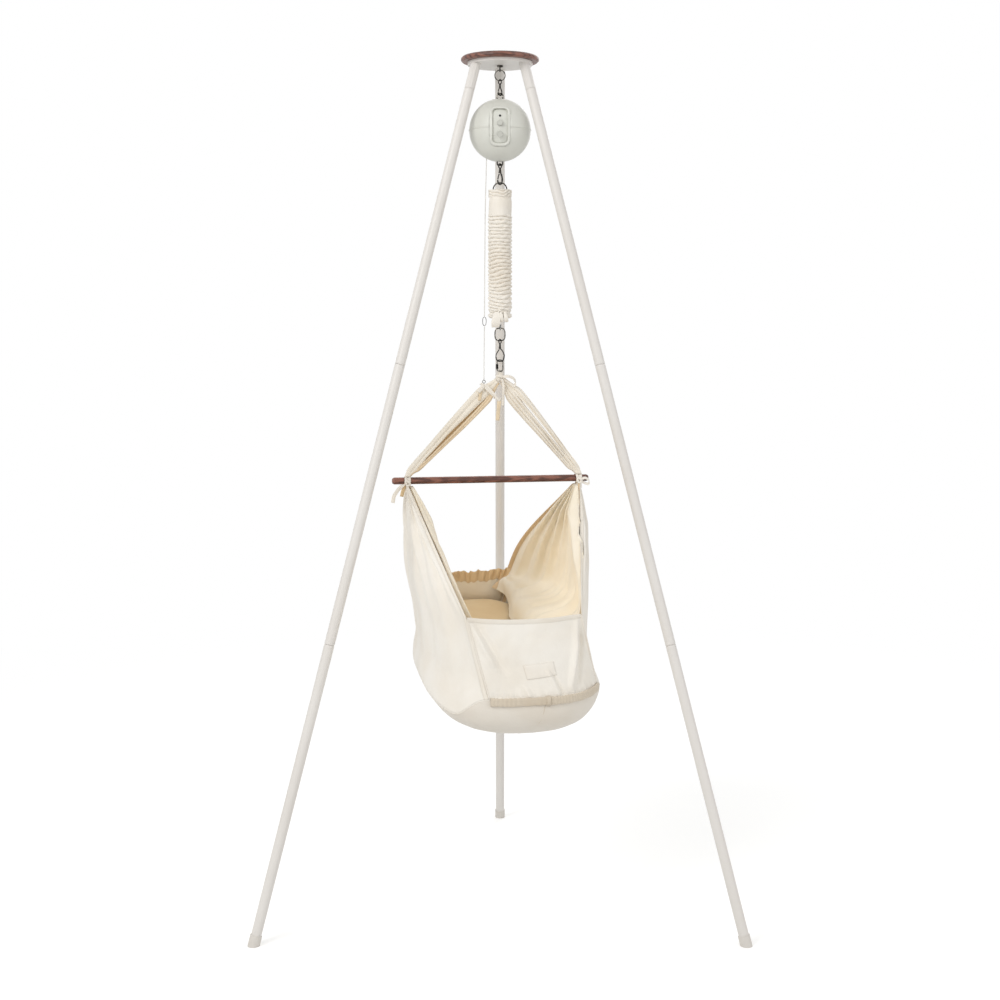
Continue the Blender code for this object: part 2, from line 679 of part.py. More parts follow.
def bail_wire(legs_end, bar_z):
    """A round wire bail in the XZ plane, from its legs' ends up or down to its crossbar."""
    half = BAIL_SPAN / 2
    bend = math.copysign(half * BAIL_BEND, bar_z - legs_end)
    corner = [(math.sin(math.pi / 2 * k / 4), 1 - math.cos(math.pi / 2 * k / 4)) for k in range(5)]
    left = [Vector((-half + half * BAIL_BEND * a, 0, bar_z - bend + bend * b)) for b, a in corner]
    right = [Vector((-p.x, 0, p.z)) for p in reversed(left)]
    path = [Vector((-half, 0, legs_end)), *left, *right, Vector((half, 0, legs_end))]
    return swept(path, circle(BAIL_WIRE / 2, 8), across=(0, 1, 0))


def make_panel(motor_pivot, block, recess, centre):
    """The control panel set in the sphere, with its lens and two knobs."""
    radius = MOTOR_DIA / 2
    shafts = []
    for name, tilt in KNOB_TILTS.items():
        way = facing(tilt)
        base = centre + way * (radius - RECESS_DEPTH + GAP)
        slope = math.radians(abs(tilt))
        board_reach = (board_front() + GAP + KNOB_SHAFT / 2 * math.sin(slope)) / math.cos(slope)
        inward = radius - RECESS_DEPTH + GAP - board_reach
        knob = [(0, KNOB_HEIGHT), (KNOB_DIA * 0.44, KNOB_HEIGHT), (KNOB_DIA * 0.5, KNOB_HEIGHT * 0.75),
                (KNOB_DIA * 0.5, 0), (KNOB_SHAFT / 2, 0), (KNOB_SHAFT / 2, -inward), (0, -inward)]
        pivot = pivot_at(name + "_turn", base, motor_pivot)
        add(name, turned(knob, 18, turn_to(way, base)), KNOB_GREY, pivot)
        shaft_hole = rod(KNOB_SHAFT / 2 + GAP, centre + way * radius * 0.6, centre + way * radius * 1.2)
        shafts.append(("DIFFERENCE", shaft_hole))
    way = facing(LENS_TILT)
    lens_hole = rod(LENS_DIA / 2 + GAP, centre + way * radius * 0.8, centre + way * radius * 1.2)
    floor = combine(recess, ("DIFFERENCE", ball(radius - RECESS_DEPTH, centre)))
    panel = combine(ball(radius + PANEL_PROUD, centre), ("INTERSECT", block),
                    ("DIFFERENCE", ball(radius - PANEL_DEPTH, centre)), ("DIFFERENCE", floor), *shafts,
                    ("DIFFERENCE", lens_hole))
    add("control_panel", panel, SHELL_WHITE, motor_pivot)
    lens_back, lens_front = (centre + way * (radius - deep) for deep in (PANEL_DEPTH, RECESS_DEPTH - 2 * GAP))
    add("status_lens", rod(LENS_DIA / 2, lens_back, lens_front, 16), DARK, motor_pivot)


def board_front():
    """How far in front of the sphere's centre the control board's front face lies."""
    reach = (MOTOR_DIA / 2 - PANEL_DEPTH) * math.cos(math.pi / SHELL_COLUMNS) ** 2
    return math.sqrt(reach ** 2 - BOARD_HALF_WIDTH ** 2 - BOARD_HALF_HEIGHT ** 2) - GAP


def make_chassis(motor_pivot):
    """The inner plate, gear motor, crank, control board and power inlet."""
    inner = MOTOR_DIA / 2 - SHELL_WALL
    crank_z = MOTOR_Z + CRANK_ABOVE
    facet = math.cos(math.pi / SHELL_COLUMNS) ** 2
    reach = math.sqrt((inner * facet) ** 2 - (CHASSIS_Y + CHASSIS_THICK) ** 2) - GAP
    disc = rod(reach, (0, CHASSIS_Y, MOTOR_Z), (0, CHASSIS_Y + CHASSIS_THICK, MOTOR_Z), SHELL_COLUMNS)
    off_centre = rod(SHAFT_DIA / 2 + GAP, (0, 0, crank_z), (0, CHASSIS_Y * 2, crank_z), 14)
    block_z = MOTOR_Z + BAIL_BLOCK_Z
    block_front = -BAIL_BLOCK_HEIGHT / 2 - BAIL_WIRE / 2
    block_back = CHASSIS_Y + CHASSIS_THICK * 0.6
    block = prism(box_outline(BAIL_BLOCK_WIDTH / 2, BAIL_BLOCK_HEIGHT / 2), block_back - block_front,
                  Matrix.Translation((0, (block_front + block_back) / 2, block_z)))
    half = BAIL_SPAN / 2
    socket_floor = block_z - BAIL_SEAT - GAP
    sockets = [("DIFFERENCE", rod(BAIL_WIRE / 2 + GAP, (x, 0, socket_floor), (x, 0, block_z + 0.01)))
               for x in (-half, half)]
    chassis = combine(combine(block, *sockets), ("UNION", disc), ("DIFFERENCE", off_centre))
    add("motor_chassis", chassis, STEEL, motor_pivot)
    back = CHASSIS_Y + CHASSIS_THICK + GAP
    bore_floor = CRANK_FACE_Y + CRANK_WEB
    can_front = back + GEARBOX_LENGTH
    can_end = can_front + CAN_LENGTH
    can, gearbox, shaft = CAN_DIA / 2, GEARBOX_DIA / 2, SHAFT_DIA / 2
    gear_motor = [(0, can_end), (can, can_end), (can, can_front), (gearbox, can_front), (gearbox, back),
                  (shaft, back), (shaft, bore_floor + GAP), (0, bore_floor + GAP)]
    spun = turn_to((0, 1, 0), (0, 0, crank_z))
    add("gear_motor", turned(gear_motor, 16, spun), STEEL, motor_pivot)
    crank_pivot = pivot_at("crank_turn", (0, CRANK_FACE_Y, crank_z), motor_pivot)
    crank_back = CRANK_FACE_Y + CRANK_DISC_THICK
    wheel = turned([(0, bore_floor), (SHAFT_DIA / 2 + GAP, bore_floor), (SHAFT_DIA / 2 + GAP, crank_back),
                    (CRANK_DISC_DIA / 2, crank_back), (CRANK_DISC_DIA / 2, CRANK_FACE_Y), (0, CRANK_FACE_Y)],
                   18, spun)
    pin_z = crank_z + CRANK_RADIUS
    pin = rod(CRANK_PIN_DIA / 2, (0, -CRANK_FACE_Y * 0.6, pin_z), (0, CRANK_FACE_Y + CRANK_WEB / 2, pin_z))
    add("crank_disc", combine(wheel, ("UNION", pin)), STEEL, crank_pivot)
    board = prism(box_outline(BOARD_HALF_WIDTH, BOARD_HALF_HEIGHT), BOARD_THICK,
                  Matrix.Translation((0, -board_front() + BOARD_THICK / 2, MOTOR_Z)))
    add("control_board", board, BOARD, motor_pivot)
    face = math.sqrt((MOTOR_DIA / 2) ** 2 - (MOTOR_Z - INLET_Z) ** 2)
    mouth, floor = face + INLET_PROUD, face - INLET_DEPTH
    tub = [(INLET_BORE / 2, mouth), (INLET_DIA / 2, mouth), (INLET_DIA / 2, floor - INLET_WALL),
           (0, floor - INLET_WALL), (0, floor), (INLET_BORE / 2, floor)]
    add("power_inlet", turned(tub, 16, turn_to((0, 1, 0), (0, 0, INLET_Z))), DARK, motor_pivot)


def make_drive(motor_pivot):
    """The sliding yoke, whose bail hangs below the sphere. Gives its pivot."""
    pivot = pivot_at("drive_stroke", (0, 0, DRIVE_BAIL_Z), motor_pivot)
    slot_z = MOTOR_Z + CRANK_ABOVE + CRANK_RADIUS
    # The slot is taller than the pin, because the drive's stroke isn't quite in step with the crank's turn.
    half_slot = CRANK_PIN_DIA / 2 + CRANK_RADIUS * 0.22 + YOKE_SLACK
    reach = CRANK_RADIUS + CRANK_PIN_DIA / 2 + YOKE_SLACK
    place = Matrix.Translation((0, 0, slot_z))
    outer = half_slot + YOKE_WALL
    plate = prism(rounded_box(reach + YOKE_WALL, -outer, outer, YOKE_WALL * 0.75), YOKE_WALL, place)
    slot = prism(rounded_box(reach, -half_slot, half_slot, half_slot * 0.9), YOKE_WALL * 2, place)
    bail = bail_wire(slot_z - half_slot - YOKE_WALL * 0.4, DRIVE_BAIL_Z)
    add("drive_yoke", combine(plate, ("DIFFERENCE", slot), ("UNION", bail)), STEEL, pivot)
    return pivot


# Spring, its cover and the links below it

def make_lower_hook(drive_pivot):
    """The hook under the motor and the ring that it holds. Gives the ring's pivot."""
    hook_pivot = pivot_at("lower_hook_swing", (0, 0, LOWER_HOOK_HIGH), drive_pivot)
    hook = (LOWER_HOOK_DROP, LOWER_HOOK_WIDTH, LOWER_HOOK_WIRE)
    hang_hook("lower_hook", "lower_hook_gate", hook, -HOOK_YAW, LOWER_HOOK_HIGH, hook_pivot)
    ring_pivot = pivot_at("spring_ring_swing", (0, 0, SPRING_RING_HIGH), hook_pivot)
    ring = ring_mesh(SPRING_RING_DIA / 2, SPRING_RING_WIRE, (0, 0, SPRING_RING_Z), steps=20)
    add("spring_ring", ring, NICKEL, ring_pivot)
    return ring_pivot


def end_loop(centre_z, first_angle, turn):
    """A round end loop in the YZ plane that steps sideways, so that its ends pass each other."""
    points = []
    steps = 12
    radius = SPRING_LOOP_DIA / 2
    for k in range(steps + 1):
        angle = math.radians(first_angle + turn * k / steps)
        aside = SPRING_WIRE * 0.62 * (2 * k / steps - 1)
        points.append(Vector((aside, radius * math.cos(angle), centre_z + radius * math.sin(angle))))
    return points


def spring_path():
    """The whole wire of the spring: an end loop, the coil and the other end loop."""
    radius = SPRING_DIA / 2
    per_turn = 8
    coil = []
    for k in range(SPRING_TURNS * per_turn + 1):
        angle = math.tau * k / per_turn + math.radians(135)
        drop = SPRING_LENGTH * k / (SPRING_TURNS * per_turn)
        coil.append(Vector((radius * math.cos(angle), radius * math.sin(angle), SPRING_TOP - drop)))
    top = end_loop(TOP_LOOP_Z, -50, 320)
    lead_in = smooth_path([top[-1], (0.0012, 0.0080, SPRING_TOP + SPRING_SHOULDER * 0.62), coil[0]], 3)[1:-1]
    bottom = end_loop(BOTTOM_LOOP_Z, 90, -300)
    lead_out = smooth_path([coil[-1], (-0.0010, 0.0060, SPRING_BOTTOM - SPRING_TAIL * 0.24),
                            (-0.0018, 0, SPRING_BOTTOM - SPRING_TAIL * 0.52), bottom[0]], 3)[1:-1]
    return top + lead_in + coil + lead_out + bottom


def least_gap(points, wire_dia):
    """The least gap between stretches of one wire that are more than a few diameters apart along it."""
    run = [0.0]
    for a, b in zip(points, points[1:]):
        run.append(run[-1] + (b - a).length)
    least = 1.0
    for i, a in enumerate(points):
        for j in range(i + 1, len(points)):
            if run[j] - run[i] > wire_dia * 4:
                least = min(least, (a - points[j]).length)
    return least - wire_dia


def make_spring(ring_pivot):
    """The spring and its gathered cloth cover. Gives the pivot of the spring's lower end."""
    path = spring_path()
    cloth_curve("spring", path, SPRING_WIRE, STEEL, ring_pivot, sides_level=1)
    print(f"spring: least gap between its turns {least_gap(path, SPRING_WIRE) * 1000:.2f} mm")
    grip = SPRING_DIA / 2 + SPRING_WIRE / 2 + GAP
    neck = grip + COVER_CLOTH
    top, bottom = SPRING_TOP + COVER_ABOVE, SPRING_BOTTOM - COVER_BELOW
    folds_top, folds_bottom = SPRING_TOP - COVER_PLAIN, SPRING_BOTTOM - COVER_FOLDS_BELOW
    valley = COVER_RADIUS - COVER_FOLD_DEPTH
    outer = [(COVER_RADIUS, top), (COVER_RADIUS * 0.94, top - 0.009), (neck, top - 0.0175),
             (valley, top - 0.026), (COVER_RADIUS * 0.93, folds_top + 0.004)]
    pitch = (folds_top - folds_bottom) / COVER_FOLDS
    for k in range(COVER_FOLDS):
        outer.append((valley, folds_top - pitch * k))
        outer.append((COVER_RADIUS, folds_top - pitch * (k + 0.5)))
    outer += [(neck, folds_bottom - 0.002), (neck, folds_bottom - 0.007), (valley + 0.001, bottom)]
    loose = valley - COVER_CLOTH
    inner = [(grip, bottom), (grip, SPRING_BOTTOM - SPRING_WIRE), (loose, SPRING_BOTTOM + 0.008),
             (loose, SPRING_TOP - 0.014), (grip, SPRING_TOP - 0.004), (grip, top)]
    add("spring_cover", turned(outer + inner, COVER_SIDES), COTTON, ring_pivot)
    bottom_pivot = pivot_at("spring_stretch", (0, 0, SPRING_LOW), ring_pivot)
    make_cover_tie(folds_bottom - 0.0045, neck, valley, bottom_pivot)
    return bottom_pivot


def make_cover_tie(tie_z, neck, ruffle, pivot):
    """The cord tied round the cover's lower neck, with its two bow loops in front."""
    round_neck = neck + GAP + TIE_CORD_DIA / 2
    ring = ring_mesh(round_neck, TIE_CORD_DIA, (0, 0, 0), steps=COVER_SIDES)
    ring = moved(ring, yawed(0, (0, 0, tie_z)) @ Matrix.Rotation(math.pi / 2, 4, "X"))
    front = -(ruffle + 0.001 + GAP + TIE_CORD_DIA)
    knot = rod(TIE_CORD_DIA, (0, -round_neck, tie_z), (0, front, tie_z), 8)
    loops = []
    for keys in (((0, 0), (-0.013, 0.001), (-0.020, -0.012), (-0.012, -0.032), (-0.003, -0.015)),
                 ((0, 0), (0.009, -0.001), (0.0145, -0.010), (0.010, -0.020), (0.004, -0.010))):
        path = smooth_path([(x, front, tie_z + z) for x, z in keys], 2, cyclic=True)
        loops.append(("UNION", swept(path, circle(TIE_CORD_DIA / 2), across=(0, 1, 0), cyclic=True)))
    add("cover_tie", combine(ring, ("UNION", knot), *loops), COTTON, pivot)


def link_points(width, height, square, centre_z, steps):
    """A closed link's centreline in XZ, between an ellipse and a rectangle."""
    points = []
    power = 2 / square
    for k in range(steps):
        angle = math.tau * k / steps
        c, s = math.cos(angle), math.sin(angle)
        points.append(Vector((width / 2 * math.copysign(abs(c) ** power, c), 0,
                              centre_z + height / 2 * math.copysign(abs(s) ** power, s))))
    return points


def make_links(bottom_pivot):
    """The link, snap hook and screw link between the spring and the hammock. Gives the hammock's pivot."""
    d_pivot = pivot_at("d_link_swing", (0, 0, SPRING_LOW), bottom_pivot)
    points = link_points(D_LINK_WIDTH, D_LINK_HEIGHT, 3, D_LINK_LOW + D_LINK_HEIGHT / 2, 20)
    add("d_link", swept(points, circle(D_LINK_WIRE / 2), across=(0, 1, 0), cyclic=True), NICKEL, d_pivot)
    hook_pivot = pivot_at("carabiner_swing", (0, 0, CARABINER_HIGH), d_pivot)
    hang_hook("carabiner", "carabiner_gate", (CARABINER_DROP, CARABINER_WIDTH, HOOK_WIRE), CARABINER_YAW,
              CARABINER_HIGH, hook_pivot)
    link_pivot = pivot_at("link_turn", (0, 0, LINK_HIGH), hook_pivot)
    half = LOWER_LINK_WIDTH / 2
    box = rounded_box(half, LINK_LOW, LINK_HIGH, LOWER_LINK_CORNER)
    left_low = LINK_LOW + LOWER_LINK_CORNER
    start = left_low + GAP
    # The wire starts above the opening on the left side and runs over the top to the opening's lower end.
    corner = len(box) // 4
    upper, lower = box[:2 * corner], box[2 * corner:]
    wire = [(-half, start + LINK_OPENING), *upper[::-1], *lower[::-1], (-half, start)]
    mesh = swept([(x, 0, z) for x, z in wire], circle(LOWER_LINK_WIRE / 2, 8), across=(0, 1, 0))
    turn = yawed(HAMMOCK_YAW)
    add("lower_link", moved(mesh, turn), NICKEL, link_pivot)
    sleeve_pivot = pivot_at("sleeve_slide", turn @ Vector((-half, 0, start)), link_pivot)
    bore = LOWER_LINK_WIRE / 2 + GAP
    outline = tube_outline(SLEEVE_DIA / 2, bore, start, start + SLEEVE_LENGTH)
    add("link_sleeve", turned(outline, 12, turn @ Matrix.Translation((-half, 0, 0))), STEEL, sleeve_pivot)
    return pivot_at("hammock_rock", (0, 0, LINK_LOW), link_pivot)


# Safety cord

def even_points(keys, spacing):
    """Points about evenly spaced on a smooth curve through the keys."""
    fine = smooth_path(keys, 24)
    run = [0.0]
    for a, b in zip(fine, fine[1:]):
        run.append(run[-1] + (b - a).length)
    count = max(2, round(run[-1] / spacing))
    points = []
    i = 0
    for k in range(count + 1):
        want = run[-1] * k / count
        while i < len(fine) - 2 and run[i + 1] < want:
            i += 1
        share = (want - run[i]) / (run[i + 1] - run[i])
        points.append(fine[i].lerp(fine[i + 1], share))
    return points


def make_cord(top_pivot, bottom_pivot, hammock_pivot):
    """The thin cord beside the spring, its clip, and the ring that joins it to the left strap."""
    clip_x = CORD_CLIP[0]
    clip_low = CORD_CLIP[2] - CLIP_HEIGHT / 2
    clip_high = CORD_CLIP[2] + CLIP_HEIGHT / 2
    reach = CLIP_WIRE / 2 + GAP
    upper = [CORD_TOP, (-0.0297, 0, 1.660), (-0.0325, 0, 1.550), (-0.0335, 0, 1.446)]
    upper.append((clip_x, 0, clip_high + reach))
    cloth_curve("safety_cord_upper", even_points(upper, CORD_DIA * 3), CORD_DIA, CORD, top_pivot)
    ring_high = CORD_RING[2] + CORD_RING_DIA / 2
    lower = [(clip_x, 0, clip_low - reach), (-0.0352, 0, 1.250), (CORD_RING[0], 0, ring_high + reach)]
    cloth_curve("safety_cord_lower", even_points(lower, CORD_DIA * 3), CORD_DIA, CORD, bottom_pivot)
    points = link_points(CLIP_WIDTH, CLIP_HEIGHT, 2.4, CORD_CLIP[2], 12)
    clip = swept(points, circle(CLIP_WIRE / 2), across=(0, 1, 0), cyclic=True)
    add("cord_clip", moved(clip, Matrix.Translation((clip_x, 0, 0))), NICKEL, bottom_pivot)
    ring = ring_mesh(CORD_RING_DIA / 2, CLIP_WIRE, CORD_RING, steps=12)
    add("cord_ring", ring, NICKEL, hammock_pivot)


# Hammock

HAMMOCK = Matrix.Translation((HAMMOCK_X, HAMMOCK_Y, 0)) @ Matrix.Rotation(math.radians(HAMMOCK_YAW), 4, "Z")


def grid_normals(grid):
    high, wide = len(grid), len(grid[0])
    normals = []
    for i in range(high):
        line = []
        for j in range(wide):
            down = grid[min(i + 1, high - 1)][j] - grid[max(i - 1, 0)][j]
            over = grid[i][min(j + 1, wide - 1)] - grid[i][max(j - 1, 0)]
            line.append(down.cross(over).normalized())
        normals.append(line)
    return normals


def cloth_sheet(grid, thick, ripple=None):
    """A closed sheet whose middle runs through a grid of points, pushed along its normals by ripple."""
    grid = [[Vector(p) for p in row] for row in grid]
    high, wide = len(grid), len(grid[0])
    if ripple:
        normals = grid_normals(grid)
        for i in range(high):
            for j in range(wide):
                grid[i][j] = grid[i][j] + normals[i][j] * ripple(i, j)
    normals = grid_normals(grid)
    bm = bmesh.new()
    front, back = (
        [[bm.verts.new(grid[i][j] + normals[i][j] * way) for j in range(wide)] for i in range(high)]
        for way in (thick / 2, -thick / 2)
    )
    for side in (front, back):
        for i in range(high - 1):
            for j in range(wide - 1):
                bm.faces.new((side[i][j], side[i][j + 1], side[i + 1][j + 1], side[i + 1][j]))
    border = [(0, j) for j in range(wide)] + [(i, wide - 1) for i in range(1, high)]
    border += [(high - 1, j) for j in reversed(range(wide - 1))]
    border += [(i, 0) for i in reversed(range(1, high - 1))]
    for (a, b), (c, d) in zip(border, border[1:] + border[:1]):
        bm.faces.new((front[a][b], front[c][d], back[c][d], back[a][b]))
    return mesh_from(bm, "sheet")


def smooth_share(value, low, high):
    share = max(0.0, min(1.0, (value - low) / (high - low)))
    return share * share * (3 - 2 * share)


def bed_point(angle, inset, height):
    """A point of the bed's outline, inset inwards, at a height above its sloping underside."""
    turn = math.radians(angle)
    c, s = math.cos(turn), math.sin(turn)
    power = 2 / BED_SQUARENESS
    along = math.copysign(abs(s) ** power, s)
    half_width = BED_HALF_WIDTH - BED_FAR_TAPER * max(0.0, along) ** 2
    u = (half_width - inset) * math.copysign(abs(c) ** power, c)
    v = (BED_HALF_LENGTH - inset) * along
    return Vector((BED_CENTRE_U + u, v, BED_Z + BED_TILT * v + height))


def edge_rise(height):
    """How level the pocket's rounded edge runs at a height, from 1 underneath to 0 at its upright wall."""
    return max(0.0, 1 - height / BED_EDGE_HEIGHT)


def edge_point(angle, height, lining=0.0, slack=0.0):
    """A point of the pocket's rounded edge, or of its lining, with slack at the sides."""
    rise = edge_rise(height)
    inset = BED_EDGE_REACH * (1 - math.sqrt(1 - rise * rise))
    return bed_point(angle, inset + lining * (1 - rise) + slack, height + lining * rise)


def pocket_top(angle):
    """The pocket's height at an angle round the bed. It rises to the trim at the near end."""
    spread = 30
    angle %= 360
    rise = smooth_share(angle, NEAR_ANGLES[0] - spread, NEAR_ANGLES[0])
    rise *= 1 - smooth_share(angle, NEAR_ANGLES[1], NEAR_ANGLES[1] + spread)
    return SEAM_HEIGHT + TRIM_RISE * rise


def spread_angles(first, last, count):
    return [first + (last - first) * k / (count - 1) for k in range(count)]


def even_angles(first, last, count):
    """Angles whose points lie evenly along the bed's outline."""
    fine = spread_angles(first, last, 240)
    runs = [0.0]
    for one, two in zip(fine, fine[1:]):
        runs.append(runs[-1] + (bed_point(two, 0, 0) - bed_point(one, 0, 0)).length)
    wanted = spread_angles(0.0, runs[-1], count)
    return [fine[min(range(len(fine)), key=lambda i: abs(runs[i] - want))] for want in wanted]


SIDE_COUNT = PANEL_FOLDS * 4 + 1
SIDE_ANGLES = {
    "left": even_angles(NEAR_ANGLES[0] - EDGE_ANGLE, FAR_ANGLES[1] + EDGE_ANGLE, SIDE_COUNT),
    "right": even_angles(NEAR_ANGLES[1] - 360 + EDGE_ANGLE, FAR_ANGLES[0] - EDGE_ANGLE, SIDE_COUNT),
}
PERIMETER = (
    SIDE_ANGLES["left"],
    even_angles(NEAR_ANGLES[0] + EDGE_ANGLE, NEAR_ANGLES[1] - EDGE_ANGLE, 9),
    SIDE_ANGLES["right"],
    even_angles(FAR_ANGLES[0] + EDGE_ANGLE, FAR_ANGLES[1] - EDGE_ANGLE, 6),
)


def rim_point(side, share):
    """A point of the rim at a share from the near end, -1, to the far end, 1."""
    end = RIM_NEAR[side] if share < 0 else RIM_FAR[side]
    u = RIM_MID[side] + (end - RIM_MID[side]) * abs(share) ** RIM_POWER
    v = RIM_HALF_LENGTH * share
    return Vector((u, v, RIM_Z + RIM_TILT * v))


def side_panel(side):
    """A side of the bucket, gathered under its tie and spread to the bed's long side."""
    count = PANEL_FOLDS * 4 + 1
    angles = SIDE_ANGLES[side]
    top_z = BAR_Z - BAR_DIA / 2 - TIE_CLOTH - 2 * GAP
    columns = []
    for k in range(count):
        share = (2 * k / (count - 1) - 1) * (1 - EDGE_SHARE)
        top = Vector((TIE_U[side], BUNDLE_WIDTH / 2 * share, top_z))
        foot = edge_point(angles[k], pocket_top(angles[k])) + Vector((0, 0, 3 * GAP))
        rim = rim_point(side, share)
        full = 1 - abs(share) ** 4
        straight = [top.lerp(rim, t / 4) for t in range(4)] + [rim.lerp(foot, t / 4) for t in range(5)]
        curved = smooth_path([top, rim, foot], 4)
        columns.append([a.lerp(b, full) for a, b in zip(straight, curved)])
    rows = list(zip(*columns))
    last = len(rows) - 1

    def ripple(i, j):
        width = (Vector(rows[i][-1]) - Vector(rows[i][0])).length
        size = min(0.004, 0.45 * width / (math.tau * PANEL_FOLDS))
        calm = (1 - smooth_share(i / last, 0.62, 0.95)) * (0 < j < count - 1)
        return size * calm * math.cos(math.tau * PANEL_FOLDS * j / (count - 1))

    return cloth_sheet(rows, CLOTH, ripple)


def end_panel(angles, share):
    """The near or the far end of the bucket, from the rim down to the pocket."""
    sag = 0.008
    left, right = (rim_point(side, share) for side in ("left", "right"))
    count = len(angles)
    columns = []
    for k, angle in enumerate(angles):
        part = k / (count - 1)
        rim = left.lerp(right, EDGE_SHARE + part * (1 - 2 * EDGE_SHARE))
        rim.z -= sag * 4 * part * (1 - part)
        foot = edge_point(angle, pocket_top(angle)) + Vector((0, 0, 3 * GAP))
        columns.append([rim.lerp(foot, step / 5) for step in range(6)])
    rows = list(zip(*columns))

    def ripple(i, j):
        return 0.002 * (1 - i / 5) * math.cos(math.pi * j) * (0 < j < count - 1)

    return cloth_sheet(rows, CLOTH, ripple)


def ringed(rings, low_tip, high_tip):
    """A closed body through rings of equally many points, each end drawn in to a tip."""
    bm = bmesh.new()
    loops = [[bm.verts.new(p) for p in ring] for ring in rings]
    count = len(loops[0])
    for one, two in zip(loops, loops[1:]):
        for k in range(count):
            bm.faces.new((one[k], one[(k + 1) % count], two[(k + 1) % count], two[k]))
    for tip, loop in ((low_tip, loops[0][::-1]), (high_tip, loops[-1])):
        point = bm.verts.new(tip)
        for k in range(count):
            bm.faces.new((loop[k], loop[(k + 1) % count], point))
    return mesh_from(bm, "ringed")


def make_bed(pivot):
    """The pocket that holds the mattress, the mattress and the puckered trim at the near end."""
    around = sorted({round(angle % 360, 4) for group in PERIMETER for angle in group})
    centre = Vector((BED_CENTRE_U, 0, BED_Z))
    shares = (0.0, 0.05, 0.18, 0.42, 1.0)
    outside = [[edge_point(a, share * pocket_top(a)) for a in around] for share in shares]
    inside = [[edge_point(a, share * pocket_top(a), CLOTH) for a in around] for share in reversed(shares)]
    pocket = ringed(outside + inside, centre, centre + Vector((0, 0, CLOTH)))
    add("bed_pocket", moved(pocket, HAMMOCK), COTTON, pivot)
    fit = CLOTH + 2 * GAP
    rings = [[edge_point(a, share * SEAM_HEIGHT, fit, PAD_SLACK) for a in around] for share in shares]
    pad = ((0.010, MATTRESS_EDGE - 0.036), (0.019, MATTRESS_EDGE - 0.012), (0.040, MATTRESS_EDGE))
    rings += [[bed_point(a, inset + fit, height) for a in around] for inset, height in pad]
    crown = centre + Vector((0, 0, MATTRESS_EDGE + MATTRESS_CROWN))
    for share in (0.3, 0.65):
        swell = Vector((0, 0, MATTRESS_CROWN * share * (1 - share)))
        rings.append([p.lerp(crown, share) + swell for p in rings[len(shares) + len(pad) - 1]])
    mattress = ringed(rings, centre + Vector((0, 0, fit)), crown)
    add("mattress", moved(mattress, HAMMOCK), COTTON, pivot)
    first, last = NEAR_ANGLES
    count = 15
    middle = TRIM_THICK / 2 + 2 * GAP + CLOTH / 2
    path = [bed_point(a, -middle, pocket_top(a)) for a in spread_angles(first + 1, last - 1, count)]
    puckers = [1 + 0.14 * math.cos(math.pi * k) for k in range(count)]
    quarter = [(0.5, 0.12), (0.5, -0.12), (0.2, -0.5), (-0.2, -0.5)]
    band = quarter + [(-a, -b) for a, b in quarter]
    section = [(TRIM_HEIGHT * a, TRIM_THICK * b) for a, b in band]
    trim = swept(path, section, across=(0, 0, 1), scales=puckers)
    add("pocket_trim", moved(trim, HAMMOCK), TRIM, pivot)


def strap(side, knot, pivot):
    """A folded band of cloth from the knot down to the bar's tie."""
    sign = -1 if side == "left" else 1
    tie_top = BAR_Z + BAR_DIA / 2 + TIE_CLOTH + 3 * GAP
    end = Vector((TIE_U[side], 0, tie_top))
    way = (end - knot).normalized()
    start = knot + way * (KNOT_RADIUS + 2 * GAP)
    count, steps = STRAP_FOLDS * 2 + 1, 9
    square = Vector((-way.z, 0, way.x)) * sign
    rows = []
    for i in range(steps):
        t = i / (steps - 1)
        width = STRAP_START + (STRAP_WIDEST - STRAP_START) * smooth_share(t, 0, STRAP_SPREAD)
        width += (STRAP_END - STRAP_WIDEST) * smooth_share(t, STRAP_SPREAD, 1)
        across = square.lerp(Vector((sign, 0, 0)), smooth_share(t, 0.85, 1)).normalized()
        centre = start.lerp(end, t)
        rows.append([centre + across * width * (k / (count - 1) - 0.5) for k in range(count)])

    def ripple(i, j):
        return 0.0022 * math.sin(math.pi * i / (steps - 1)) * math.cos(math.pi * j)

    add(f"{side}_strap", moved(cloth_sheet(rows, STRAP_CLOTH, ripple), HAMMOCK), COTTON, pivot)


def bar_tie(side, pivot):
    """The ribbon tied round the bar, with its tail hanging behind."""
    inner = BAR_DIA / 2 + GAP
    u = TIE_U[side]
    half = TIE_WIDTH / 2
    ring = turned(tube_outline(inner + TIE_CLOTH, inner, u - half, u + half), 16,
                  Matrix.Translation((0, 0, BAR_Z)) @ Matrix.Rotation(math.pi / 2, 4, "Y"))
    front = -(inner + TIE_CLOTH / 2 + GAP)
    out = -1 if side == "left" else 1
    drop = TAIL_DROP[side]
    tail = [(u + half * 0.4 * out, front, BAR_Z),
            (u + 0.6 * drop * out, front - 0.003, BAR_Z - 0.4 * drop),
            (u + 0.8 * drop * out, front - 0.002, BAR_Z - drop)]
    ribbon = swept(smooth_path(tail, 3), strip(0.0075, TIE_CLOTH), across=(1, 0, 0))
    add(f"{side}_bar_tie", moved(combine(ring, ("UNION", ribbon)), HAMMOCK), COTTON, pivot)


